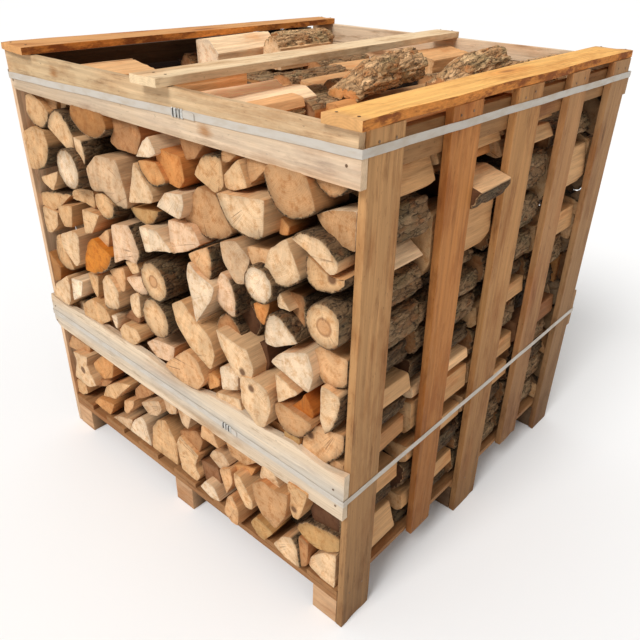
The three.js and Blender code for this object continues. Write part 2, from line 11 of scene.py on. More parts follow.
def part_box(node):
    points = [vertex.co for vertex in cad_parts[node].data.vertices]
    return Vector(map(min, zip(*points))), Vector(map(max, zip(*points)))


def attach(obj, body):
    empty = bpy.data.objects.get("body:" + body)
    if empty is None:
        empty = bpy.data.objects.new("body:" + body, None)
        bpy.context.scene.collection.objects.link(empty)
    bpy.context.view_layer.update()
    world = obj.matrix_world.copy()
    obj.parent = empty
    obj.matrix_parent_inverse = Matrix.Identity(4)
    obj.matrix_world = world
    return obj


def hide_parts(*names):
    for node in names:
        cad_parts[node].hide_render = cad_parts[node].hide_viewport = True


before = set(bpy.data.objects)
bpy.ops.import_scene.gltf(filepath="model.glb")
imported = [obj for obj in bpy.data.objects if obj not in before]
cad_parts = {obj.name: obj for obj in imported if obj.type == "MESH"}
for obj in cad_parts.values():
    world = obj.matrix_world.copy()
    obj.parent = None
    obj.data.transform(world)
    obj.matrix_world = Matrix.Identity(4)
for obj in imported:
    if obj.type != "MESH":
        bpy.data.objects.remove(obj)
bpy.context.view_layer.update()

# Sizes below are millimetres, measured from the front middle of the crate, as in the solids
MM = 0.001
PALLET_LEFT = -584
PALLET_RIGHT = 532
PALLET_FRONT = -540
PALLET_BACK = 558
FRONT = -558
BACK = 576
LEFT = -602
RIGHT = 550
DECK_TOP = 112
STACK_TOP = 1078
RAIL_TOP = 1165
RANKS = [(-558, -308), (-300, -50), (-42, 208), (216, 548)]
LOG_LENGTH = 250

# The solids are centred on their own footprint, and the corner block shows by how much
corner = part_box("block_front_left")[0] / MM
SHIFT = np.array([corner.x - PALLET_LEFT, corner.y - PALLET_FRONT, 0.0])

# The camera stands where the fit to the photograph puts it
EYE = (1137, -1321, 1398)
CAMERA_AZIMUTH = -40.93
CAMERA_ELEVATION = -29.85
CAMERA_ROLL = 1.42
CAMERA_LENS = 36.64

# Light: the dome's strength at the horizon and overhead, and the sun's power and where it stands
DOME_LOW = 0.4
DOME_HIGH = 0.74
KEY_POWER = 2.35
KEY_FROM = (0.05, -0.82, 0.84)

# Wood tones in sRGB
TONES = {
    "bright": (238, 214, 182),
    "white": (224, 196, 163),
    "cream": (222, 186, 145),
    "light": (217, 177, 132),
    "pink": (224, 186, 150),
    "peach": (214, 167, 120),
    "tan": (209, 166, 119),
    "grey": (203, 168, 131),
    "clay": (192, 146, 101),
    "olive": (188, 146, 94),
    "apricot": (228, 160, 106),
    "amber": (200, 122, 38),
    "ochre": (206, 138, 76),
    "orange": (204, 146, 90),
    "deep": (184, 108, 42),
    "russet": (166, 114, 64),
    "umber": (148, 104, 70),
    "brown": (176, 126, 82),
    # The dark tone is partly painted shade: logs set deep in the front, in the side gaps and along the left
    # edge take it
    "dark": (96, 62, 38),
}


def linear(rgb):
    """An sRGB colour of 0 to 255 as linear RGBA"""
    parts = [c / 255 for c in rgb]
    parts = [c / 12.92 if c <= 0.04045 else ((c + 0.055) / 1.055) ** 2.4 for c in parts]
    return (*parts, 1.0)


# Smooth random numbers over space
def lattice(x, y, z, seed):
    h = (x * 374761393 + y * 668265263 + z * 1440662683 + seed * 1274126177) & 0xFFFFFFFF
    h = ((h ^ (h >> 13)) * 1274126177) & 0xFFFFFFFF
    return ((h ^ (h >> 16)) & 0xFFFF) / 65535.0


def smooth_noise(points, seed):
    """One number from 0 to 1 for each point, changing smoothly over a distance of 1"""
    base = np.floor(points).astype(np.int64)
    part = points - base
    part = part * part * (3 - 2 * part)
    total = np.zeros(len(points))
    for step in np.ndindex(2, 2, 2):
        weight = np.prod(np.where(np.array(step) == 1, part, 1 - part), axis=1)
        x, y, z = (base + np.array(step)).T
        total += weight * lattice(x, y, z, seed)
    return total


def rough_noise(points, seed, octaves=3):
    total = np.zeros(len(points))
    for k in range(octaves):
        total += smooth_noise(points * 2**k, seed + k) * 0.5 ** (k + 1)
    return total / (1 - 0.5**octaves)


# Shader graphs
class Graph:
    """A material whose nodes are added by short calls"""

    def __init__(self, name):
        self.material = bpy.data.materials.new(name)
        self.material.use_nodes = True
        self.tree = self.material.node_tree
        self.shader = self.tree.nodes["Principled BSDF"]

    def feed(self, socket, value):
        if isinstance(value, bpy.types.NodeSocket):
            self.tree.links.new(value, socket)
        elif value is not None:
            socket.default_value = value

    def node(self, kind, inputs, output=0, **settings):
        made = self.tree.nodes.new(kind)
        for key, value in settings.items():
            setattr(made, key, value)
        for slot, value in inputs.items():
            self.feed(made.inputs[slot], value)
        return made.outputs[output]

    def attribute(self, name, output="Color"):
        return self.node("ShaderNodeAttribute", {}, output, attribute_name=name)

    def math(self, operation, a, b=None):
        return self.node("ShaderNodeMath", {0: a, 1: b}, operation=operation)

    def plus(self, a, b):
        return self.math("ADD", a, b)

    def times(self, a, b):
        return self.math("MULTIPLY", a, b)

    def vector(self, operation, a, b=None):
        output = "Value" if operation in ("LENGTH", "DISTANCE") else "Vector"
        return self.node("ShaderNodeVectorMath", {0: a, 1: b}, output, operation=operation)

    def combine(self, x, y, z):
        return self.node("ShaderNodeCombineXYZ", {0: x, 1: y, 2: z})

    def part(self, vector, index=0):
        """One of the three numbers of a vector"""
        return self.node("ShaderNodeSeparateXYZ", {0: vector}, index)

    def place(self, stretch):
        """The place along and across the grain, moved by a chance amount for each log or board"""
        seed = self.attribute("seed", "Fac")
        move = self.combine(*(self.times(seed, by) for by in (7.31, 3.17, 5.53)))
        return self.vector("MULTIPLY", self.vector("ADD", self.attribute("grain", "Vector"), move), stretch)

    def noise(self, vector, scale=1.0, detail=3.0, roughness=0.55, output=0):
        inputs = {"Vector": vector, "Scale": scale, "Detail": detail, "Roughness": roughness}
        return self.node("ShaderNodeTexNoise", inputs, output)

    def grain(self, stretch, detail=3.0, roughness=0.55, output=0):
        """Noise that follows the grain, finer where the stretch is larger"""
        return self.noise(self.place(stretch), 1.0, detail, roughness, output)

    def cells(self, vector, feature="F1", output=0):
        return self.node("ShaderNodeTexVoronoi", {"Vector": vector, "Scale": 1.0}, output, feature=feature)

    def spread(self, value, low, high, to_low, to_high):
        """value from low to high becomes to_low to to_high, held at the ends"""
        return self.node("ShaderNodeMapRange", {0: value, 1: low, 2: high, 3: to_low, 4: to_high})

    def mix(self, factor, a, b, blend="MIX"):
        inputs = {0: factor, 6: a, 7: b}
        return self.node("ShaderNodeMix", inputs, 2, data_type="RGBA", blend_type=blend)

    def tinted(self, color, rgb):
        """A colour multiplied by one in sRGB"""
        return self.mix(1.0, color, linear(rgb), "MULTIPLY")

    def shade(self, color, value):
        """A colour made lighter or darker by a number"""
        return self.mix(1.0, color, self.combine(value, value, value), "MULTIPLY")

    def tone(self, color, value, low, high, to_low, to_high):
        """A colour shaded by to_low to to_high as the value goes from low to high"""
        return self.shade(color, self.spread(value, low, high, to_low, to_high))

    def patches(self, color, value, low, high, amount, other):
        """An amount of another colour, which comes in as the value goes from low to high"""
        return self.mix(self.spread(value, low, high, 0.0, amount), color, other)

    def bump(self, height, strength, distance):
        return self.node("ShaderNodeBump", {"Height": height, "Strength": strength, "Distance": distance})

    def finish(self, color, roughness, normal=None):
        self.feed(self.shader.inputs["Base Color"], color)
        self.feed(self.shader.inputs["Roughness"], roughness)
        self.feed(self.shader.inputs["Normal"], normal)
        self.shader.inputs["Specular IOR Level"].default_value = 0.25
        return self.material


def split_wood():
    """The long faces of a log, torn along the grain"""
    g = Graph("split_wood")
    streak = g.grain((7, 95, 95), 5, 0.6)
    fibre = g.grain((22, 700, 700))
    color = g.tone(g.attribute("tint"), streak, 0.3, 0.68, 0.74, 1.12)
    color = g.tone(color, fibre, 0.35, 0.65, 0.88, 1.08)
    color = g.tinted(color, (250, 238, 224))
    color = g.patches(color, g.grain((8, 20, 20), 4), 0.52, 0.68, 0.55, g.tinted(color, (232, 186, 140)))
    color = g.shade(color, g.attribute("shade", "Fac"))
    return g.finish(color, 0.8, g.bump(g.plus(streak, g.times(fibre, 0.4)), 0.7, 0.0025))


def log_end():
    """A sawn log end: rings round the heart, fine rays, drying cracks and saw marks"""
    g = Graph("log_end")
    seed = g.attribute("seed", "Fac")
    flat = g.vector("MULTIPLY", g.attribute("grain", "Vector"), (0, 1, 1))
    outward = g.vector("NORMALIZE", flat)

    def around(turns, move):
        """A place that changes only on the way round the heart"""
        return g.vector("ADD", g.vector("MULTIPLY", outward, (0, turns, turns)), g.combine(move, 0, 0))

    radius = g.plus(g.vector("LENGTH", flat), g.times(g.grain((0, 28, 28), 2), 0.012))
    fine = g.math("SINE", g.times(radius, 2 * math.pi / 0.0038))
    broad = g.noise(g.combine(g.times(radius, 95), seed, 0.5), detail=2)
    ray = g.noise(around(26, seed), detail=2)
    torn = g.noise(around(2.4, g.times(seed, 9)), detail=3, roughness=0.65)
    crack = g.math("ABSOLUTE", g.math("SUBTRACT", torn, 0.5))
    reach = g.spread(g.grain((0, 18, 18), 2), 0.5, 0.66, 0.0, 0.008)
    crack = g.spread(g.math("DIVIDE", crack, g.plus(reach, 0.0005)), 0.5, 1.0, 1.0, 0.0)
    color = g.tone(g.attribute("tint"), g.grain((0, 26, 26), 4, 0.6), 0.3, 0.7, 0.8, 1.15)
    soiled = g.tinted(color, (204, 178, 146))
    color = g.patches(color, g.grain((0, 52, 52), 5, 0.7), 0.47, 0.64, 0.8, soiled)
    color = g.tone(color, fine, -1, 1, 0.94, 1.03)
    color = g.tone(color, broad, 0.35, 0.65, 0.9, 1.04)
    color = g.tone(color, ray, 0.35, 0.65, 0.94, 1.03)
    color = g.patches(color, g.attribute("rim", "Fac"), 0.55, 1.0, 0.5, g.shade(color, 0.62))
    heart = g.attribute("heart", "Fac")
    depth = g.math("SUBTRACT", radius, g.plus(heart, 0.006))
    color = g.mix(g.spread(depth, -0.003, 0.003, 0.62, 0.0), color, linear((176, 122, 76)))
    ring = g.spread(g.math("ABSOLUTE", depth), 0.001, 0.004, 0.6, 0.0)
    color = g.mix(g.times(ring, g.spread(heart, 0.0, 0.004, 0.0, 1.0)), color, linear((128, 82, 46)))
    knot = g.attribute("knot", "Vector")
    knot_gap = g.vector("DISTANCE", flat, g.vector("MULTIPLY", knot, (0, 1, 1)))
    in_knot = g.spread(g.math("SUBTRACT", knot_gap, g.part(knot)), -0.003, 0.003, 0.85, 0.0)
    color = g.mix(in_knot, color, linear((84, 50, 28)))
    color = g.mix(g.times(crack, 0.6), color, linear((110, 72, 44)))
    color = g.patches(color, g.grain((0, 170, 170), 2), 0.68, 0.74, 0.5, linear((120, 80, 48)))
    color = g.shade(color, g.attribute("shade", "Fac"))
    height = g.math("SUBTRACT", g.times(g.grain((0, 60, 900), 2), 0.35), g.times(crack, 1.5))
    return g.finish(color, 0.85, g.bump(height, 0.5, 0.0015))


def bark():
    """Rough birch bark in flaking plates, warm brown to grey-green, with dark pits and reddish inner bark"""
    g = Graph("bark")
    bend = g.grain((45, 45, 45), output=1)
    place = g.vector("ADD", g.place((18, 62, 62)), bend)
    small = g.vector("ADD", g.place((60, 190, 190)), bend)
    edge = g.cells(place, "DISTANCE_TO_EDGE")
    plate = g.part(g.cells(place, output=1))
    flake = g.part(g.cells(small, output=1))
    fine = g.grain((150, 420, 420), 4, 0.65)
    pit = g.grain((60, 120, 120), 3, 0.6)
    color = g.mix(plate, linear((168, 124, 82)), linear((216, 174, 128)))
    color = g.patches(color, g.grain((12, 22, 22), 4), 0.5, 0.62, 0.45, linear((160, 144, 104)))
    color = g.patches(color, g.grain((30, 44, 44)), 0.56, 0.66, 0.6, linear((196, 126, 72)))
    color = g.tone(color, flake, 0.0, 1.0, 0.8, 1.08)
    color = g.tone(color, fine, 0.3, 0.7, 0.66, 1.18)
    color = g.tone(color, pit, 0.34, 0.43, 0.32, 1.0)
    color = g.tone(color, edge, 0.0, 0.08, 0.4, 1.0)
    color = g.shade(color, g.attribute("shade", "Fac"))
    layers = g.plus(g.spread(edge, 0.0, 0.2, 0.0, 0.7), g.spread(pit, 0.32, 0.5, 0.0, 0.6))
    height = g.plus(layers, g.plus(g.times(fine, 0.4), g.times(flake, 0.25)))
    return g.finish(color, 0.92, g.bump(height, 0.9, 0.004))


def timber():
    """Sawn softwood boards with long growth lines, knots, saw marks, dirt and weather stains"""
    g = Graph("timber")
    drift = g.grain((1.6, 7, 7), 2)
    across = g.part(g.place((0.9, 1, 1)), 1)
    lines = g.plus(g.times(across, 150), g.times(drift, 7))
    growth = g.noise(g.combine(lines, g.times(drift, 2), 0.5), detail=2)
    streak = g.grain((2.8, 120, 120), 5, 0.65)
    fibre = g.grain((14, 620, 620))
    stain = g.grain((4, 13, 13), 6, 0.7)
    dirt = g.grain((8, 46, 46), 5, 0.7)
    color = g.tone(g.attribute("tint"), growth, 0.36, 0.64, 0.9, 1.05)
    color = g.tone(color, streak, 0.3, 0.7, 0.82, 1.12)
    color = g.tone(color, fibre, 0.3, 0.7, 0.92, 1.05)
    color = g.patches(color, stain, 0.48, 0.66, 0.75, g.tinted(color, (206, 178, 148)))
    color = g.patches(color, dirt, 0.56, 0.7, 0.6, g.tinted(color, (168, 146, 124)))
    color = g.patches(color, g.grain((70, 210, 210)), 0.66, 0.73, 0.6, g.shade(color, 0.4))
    spots = g.plus(g.cells(g.place((2.6, 9, 4))), g.times(drift, 0.06))
    color = g.mix(g.spread(spots, 0.1, 0.36, 0.5, 0.0), color, g.tinted(color, (236, 184, 126)))
    color = g.mix(g.spread(spots, 0.09, 0.15, 0.65, 0.0), color, linear((122, 74, 40)))
    wear = g.attribute("wear", "Vector")
    worn = g.times(g.part(wear), g.spread(stain, 0.36, 0.56, 0.35, 1.0))
    color = g.mix(worn, color, g.tone(linear((208, 202, 190)), streak, 0.3, 0.7, 0.78, 1.06))
    fleck = g.grain((16, 70, 70), 5, 0.72)
    flecked = g.times(g.part(wear, 1), g.spread(fleck, 0.5, 0.6, 0.0, 0.85))
    color = g.mix(flecked, color, linear((176, 104, 40)))
    mark = g.attribute("mark", "Vector")
    here, there = (g.vector("MULTIPLY", v, (0.7, 1, 0)) for v in (g.attribute("grain", "Vector"), mark))
    mark_edge = g.math("SUBTRACT", g.vector("DISTANCE", here, there), g.part(mark, 2))
    ragged = g.plus(mark_edge, g.spread(dirt, 0.3, 0.7, -0.008, 0.008))
    color = g.mix(g.spread(ragged, -0.008, 0.006, 0.75, 0.0), color, g.tinted(color, (196, 146, 82)))
    color = g.shade(color, g.attribute("shade", "Fac"))
    height = g.plus(streak, g.plus(g.times(fibre, 0.4), g.times(g.grain((260, 5, 5), 2), 0.12)))
    return g.finish(color, 0.78, g.bump(height, 0.5, 0.0016))


def board_end():
    """The cut end of a board, darker, with arcs of growth rings"""
    g = Graph("board_end")
    flat = g.vector("MULTIPLY", g.attribute("grain", "Vector"), (0, 1, 1))
    sideways = g.math("SINE", g.times(g.attribute("seed", "Fac"), 40))
    radius = g.vector("DISTANCE", flat, g.combine(0, g.times(sideways, 0.03), -0.05))
    ring = g.math("SINE", g.times(radius, 2 * math.pi / 0.0045))
    patch = g.grain((0, 60, 60), 4)
    color = g.tone(g.attribute("tint"), patch, 0.3, 0.7, 0.74, 1.0)
    color = g.tone(color, ring, -1, 1, 0.94, 1.02)
    color = g.shade(color, g.attribute("shade", "Fac"))
    return g.finish(color, 0.88, g.bump(g.plus(patch, g.times(ring, 0.15)), 0.5, 0.0015))


def waney_edge():
    """The natural edge of a top board: orange wood with remains of reddish inner bark"""
    g = Graph("waney_edge")
    patch = g.grain((12, 34, 34), 5, 0.68)
    fine = g.grain((90, 300, 300))
    color = g.tone(linear((214, 136, 62)), g.grain((5, 120, 120), 4), 0.3, 0.7, 0.76, 1.1)
    color = g.patches(color, patch, 0.47, 0.58, 0.85, linear((126, 64, 26)))
    color = g.tone(color, fine, 0.3, 0.7, 0.78, 1.12)
    return g.finish(color, 0.85, g.bump(g.plus(patch, g.times(fine, 0.4)), 0.8, 0.0025))


def strap_band():
    """A woven plastic band, off-white, with fine threads along it and some dust"""
    g = Graph("strap_band")
    thread = g.math("SINE", g.times(g.part(g.attribute("grain", "Vector"), 1), 5200))
    dust = g.grain((22, 60, 60), 4)
    color = g.tone(linear((200, 191, 179)), thread, -1, 1, 0.88, 1.0)
    color = g.patches(color, dust, 0.45, 0.7, 0.5, linear((176, 156, 130)))
    return g.finish(color, g.spread(dust, 0.3, 0.7, 0.38, 0.55), g.bump(thread, 0.25, 0.0004))


def worn_steel(name, bright, stained):
    """Steel with spots of rust or dirt"""
    g = Graph(name)
    spot = g.grain((90, 90, 90), 4)
    color = g.patches(linear(bright), spot, 0.42, 0.66, 0.8, linear(stained))
    g.shader.inputs["Metallic"].default_value = 0.7
    return g.finish(color, g.spread(spot, 0.3, 0.7, 0.35, 0.65), g.bump(spot, 0.3, 0.0006))


END, SPLIT, BARK = 0, 1, 2
LOG_MATERIALS = [log_end(), split_wood(), bark()]
CUT_END = board_end()
WANEY = waney_edge()
TIMBER_MATERIALS = [timber(), CUT_END, WANEY]
BAND = strap_band()
SEAL_STEEL = worn_steel("seal_steel", (206, 204, 198), (150, 136, 120))
# Dark steel for the crimp grooves, painted shade
SEAL_GROOVE_SHADE = worn_steel("seal_groove_shade", (64, 58, 54), (40, 34, 30))
NAIL_STEEL = worn_steel("nail_steel", (138, 112, 88), (92, 66, 46))


def write_attribute(mesh, name, values):
    """One, three or four numbers for each point, as a number, a vector or a colour"""
    kinds = {1: ("FLOAT", "value"), 3: ("FLOAT_VECTOR", "vector"), 4: ("FLOAT_COLOR", "color")}
    values = np.asarray(values, np.float32)
    kind, field = kinds[values.size // len(values)]
    mesh.attributes.new(name, kind, "POINT").data.foreach_set(field, values.ravel())


def show(name, mesh, slot, *nodes):
    """A finished piece that stands for the named solids"""
    piece = bpy.data.objects.new(name, mesh)
    bpy.context.scene.collection.objects.link(piece)
    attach(piece, "root")
    if nodes:
        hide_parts(*nodes)
    return piece


def ring_faces(a, b, n):
    """Faces between two rings of n points, which begin at point a and at point b"""
    return [(a + i, a + (i + 1) % n, b + (i + 1) % n, b + i) for i in range(n)]


# Logs
class Heap:
    """Logs joined in one mesh"""

    def __init__(self):
        self.points = []
        self.faces = []
        self.slots = []
        self.marks = {}
        self.count = 0

    def add(self, points, faces, slots, **marks):
        self.points.append(points)
        self.faces.extend(tuple(i + self.count for i in face) for face in faces)
        self.slots.extend(slots)
        for key, values in marks.items():
            self.marks.setdefault(key, []).append(values)
        self.count += len(points)

    def build(self, name):
        """The joined mesh of all the logs so far"""
        mesh = bpy.data.meshes.new(name)
        points = (np.concatenate(self.points) + SHIFT) * MM
        mesh.from_pydata(points.tolist(), [], self.faces)
        for material in LOG_MATERIALS:
            mesh.materials.append(material)
        mesh.polygons.foreach_set("material_index", self.slots)
        smooth = [slot == BARK for slot in self.slots]
        mesh.polygons.foreach_set("use_smooth", smooth)
        for key, values in self.marks.items():
            write_attribute(mesh, key, np.concatenate(values))
        mesh.update()
        return mesh


def outline_points(corners, barked, step):
    """Points along an outline of corners, with a flag for the stretches that have bark.

    barked holds, for each side, the bulge of its bark, or None where the side is split.
    """
    points = []
    flags = []
    corners = np.asarray(corners, float)
    following = np.roll(corners, -1, axis=0)
    area = np.sum(corners[:, 0] * following[:, 1] - following[:, 0] * corners[:, 1])
    if area < 0:
        return outline_points(corners[::-1], barked[-2::-1] + barked[-1:], step)
    for (a, b, bulge) in zip(corners, following, barked):
        along = b - a
        pieces = max(1, math.ceil(np.hypot(*along) * (1 + (bulge or 0)) / step))
        outward = np.array([along[1], -along[0]])
        for k in range(pieces):
            t = k / pieces
            points.append(a + along * t + outward * (4 * (bulge or 0) * t * (1 - t)))
            flags.append(bulge is not None)
    points = np.array(points)
    eased = 0.6 * points + 0.2 * np.roll(points, 1, axis=0) + 0.2 * np.roll(points, -1, axis=0)
    return eased, np.array(flags)


def outward_normals(points):
    tangent = np.roll(points, -1, axis=0) - np.roll(points, 1, axis=0)
    normal = np.stack([tangent[:, 1], -tangent[:, 0]], axis=1)
    return normal / np.maximum(np.linalg.norm(normal, axis=1), 1e-6)[:, None]


# Painted shade: stacked wood is unshaded this deep in from the outside, darkest this much further in, and
# loses this share of its light there
UNSHADED_DEPTH = 26
SHADE_DEPTH = 80
SHADE_LOSS = 0.8


def painted_depth_shade(points):
    """Painted shade: how light wood is by how far it lies inside the stack, 1 at the outside"""
    x, y, z = points.T
    ways_out = [y - FRONT, RANKS[3][1] - y, PALLET_RIGHT - x, x - PALLET_LEFT, STACK_TOP + 8 - z]
    t = np.clip((np.minimum.reduce(ways_out) - UNSHADED_DEPTH) / SHADE_DEPTH, 0, 1)
    return 1 - SHADE_LOSS * t * t * (3 - 2 * t)


# Stacked logs stay this clear of the deck and the slats, and the chance and side logs below this
# height. Nothing limits them to the front and back, where the room ends far away.
CLEAR = 0.5
HIGHEST_STACKED = 1090
FAR_AWAY = 2000


def room(top):
    """The lowest and highest corner of the room that stacked logs have, open to the front and back"""
    low = np.array([PALLET_LEFT + CLEAR, -FAR_AWAY, DECK_TOP + CLEAR])
    high = np.array([PALLET_RIGHT - CLEAR, FAR_AWAY, top])
    return low, high


# How much painted light makes the sawn ends lighter than the split sides, how thick bark is, and how the
# ring inside it is shaded next to bark and next to a split side
END_PAINTED_LIGHT = 1.12
BARK_THICK = 4.0
INNER_RING_SHADE = (0.72, 0.94)

# The edge of a log end is eased by this, and a worn near end rises to full height within this share
EASE = 1.2
WORN_SHARE = 0.4


class Log:
    """One log: an outline across, a near and a far end, and what its wood is like"""

    def __init__(self, corners, barked, near, far, tone, seed, pith=None, heart=0, knot=None,
                 step=12, stations=9):
        self.outline, self.bark = outline_points(corners, barked, step)
        self.at_bark = self.bark | np.roll(self.bark, 1)
        self.near = near
        self.far = far
        self.end_tone, self.tone = (tone.split() * 2)[:2]
        self.seed = seed
        self.middle = self.outline.mean(axis=0)
        self.pith = self.middle if pith is None else np.asarray(pith, float)
        self.heart = heart
        self.knot = knot
        self.stations = stations
        self.frame = None
        self.limits = None
        self.split_relief = 3.0
        self.bark_relief = 4.5
        self.crowding = 1.0
        self.bark_shade = 0.62
        self.painted_light_and_tone = 1.0
        self.taper = 1.0

    def relief(self, places):
        """How far each place on the sides lies in from the outline"""
        seed = int(self.seed * 997)
        torn = rough_noise(places * [0.06, 0.008, 0.06], seed, 3)
        ridge = np.abs(smooth_noise(places * [0.11, 0.005, 0.11], seed + 7) * 2 - 1)
        split = self.split_relief * (0.6 * torn + 0.5 * ridge)
        plates = rough_noise(places * [0.085, 0.026, 0.085], seed + 3, 3)
        furrow = np.abs(rough_noise(places * [0.08, 0.014, 0.08], seed + 11, 2) * 2 - 1)
        rough = self.bark_relief * (0.7 * plates + 0.9 * (1 - np.minimum(furrow * 3.5, 1)))
        return np.where(np.tile(self.at_bark, self.stations), rough, split)

    def side_points(self, length):
        """Rings of points from end to end, which narrow and drift a little on the way"""
        n = len(self.outline)
        rng = random.Random(self.seed)
        drift = np.array([rng.uniform(-5, 5), rng.uniform(-3, 3)])
        shrink = rng.uniform(0.0, 0.05)
        rings = []
        for share in np.linspace(0, 1, self.stations) ** self.crowding:
            level = EASE + (length - 2 * EASE) * share
            t = level / length
            ring = self.middle + (self.outline - self.middle) * (1 - shrink * t) + drift * t
            foot = ring[:, 1].min()
            ring[:, 1] = foot + (ring[:, 1] - foot) * min(1, self.taper + (1 - self.taper) * t / WORN_SHARE)
            rings.append(np.stack([ring[:, 0], np.full(n, level), ring[:, 1]], axis=1))
        sides = np.concatenate(rings)
        normal = outward_normals(self.outline)
        outward = np.tile(np.stack([normal[:, 0], np.zeros(n), normal[:, 1]], axis=1), (self.stations, 1))
        return sides - outward * self.relief(sides)[:, None]

    def into(self, heap):
        """Add the sides and the two ends of the log to a heap"""
        n = len(self.outline)
        length = self.far - self.near
        sides = self.side_points(length)
        points = [sides]
        faces = []
        slots = []
        side_slots = np.where(self.bark, BARK, SPLIT).tolist()
        rim_slots = np.where(self.bark, BARK, END).tolist()
        for a in range(0, len(sides) - n, n):
            b = a + n
            faces.extend((a + i, b + i, b + (i + 1) % n, a + (i + 1) % n) for i in range(n))
            slots.extend(side_slots)
        rim = [np.ones(len(sides))]
        bark_inset = np.where(self.at_bark, BARK_THICK, EASE)
        start = len(sides)
        for base, y, turned in ((0, 0.0, False), (len(sides) - n, length, True)):
            edge = sides[base:base + n]
            centre = edge.mean(axis=0)
            inward = centre - edge
            inward = inward / np.linalg.norm(inward, axis=1)[:, None]
            rings = [edge + inward * 0.9, edge + inward * bark_inset[:, None], edge + (centre - edge) * 0.5]
            for ring, level in zip([*rings, centre[None].copy()], (1.0, 0.85, 0.2, 0.0)):
                ring[:, 1] = y
                points.append(ring)
                rim.append(np.full(len(ring), level))
            hub = start + 3 * n
            rows = [base, start, start + n, start + 2 * n]
            cap = [face for a, b in zip(rows, rows[1:]) for face in ring_faces(a, b, n)]
            cap.extend((rows[3] + i, rows[3] + (i + 1) % n, hub) for i in range(n))
            faces.extend(face[::-1] if turned else face for face in cap)
            slots.extend(rim_slots * 2 + [END] * (2 * n))
            start = hub + 1
        points = np.concatenate(points)
        count = len(points)
        placed = self.placed(points)
        across = (points[:, [0, 2]] - self.pith) * MM
        knot = (0, 0, -1)
        if self.knot is not None:
            x, z, radius = self.knot
            knot = (radius * MM, (x - self.pith[0]) * MM, (z - self.pith[1]) * MM)
        side_tint = [linear(TONES[self.tone])] * len(sides)
        end_tint = [linear(TONES[self.end_tone])] * (count - len(sides))
        heap.add(
            placed, faces, slots,
            grain=np.column_stack([points[:, 1] * MM, across]),
            tint=np.array(side_tint + end_tint),
            seed=np.full(count, self.seed % 1.0 + 0.05),
            shade=self.shading(placed, len(sides)),
            rim=np.concatenate(rim),
            heart=np.full(count, self.heart * MM - 0.006),
            knot=np.tile(knot, (count, 1)),
        )

    def shading(self, placed, side_count):
        """Painted shade at each point: none on loose logs, stacked ones darken inwards, most of all on bark
        """
        if self.frame is not None:
            return np.full(len(placed), self.painted_light_and_tone)
        shade = painted_depth_shade(placed) * self.painted_light_and_tone
        n = len(self.bark)
        on_bark = np.where(self.at_bark, self.bark_shade, 1.0)
        shade[:side_count] *= np.tile(on_bark, self.stations)
        # Painted light on the sawn ends, which face out of the stack
        shade[side_count:] *= END_PAINTED_LIGHT
        for start in (side_count, side_count + 3 * n + 1):
            shade[start:start + n] *= on_bark
            shade[start + n:start + 2 * n] *= np.where(self.at_bark, *INNER_RING_SHADE)
        return shade

    def placed(self, points):
        if self.frame is not None:
            start, turn = self.frame
            return points @ turn.T + start
        placed = points + [0, self.near, 0]
        return placed if self.limits is None else np.clip(placed, *self.limits)


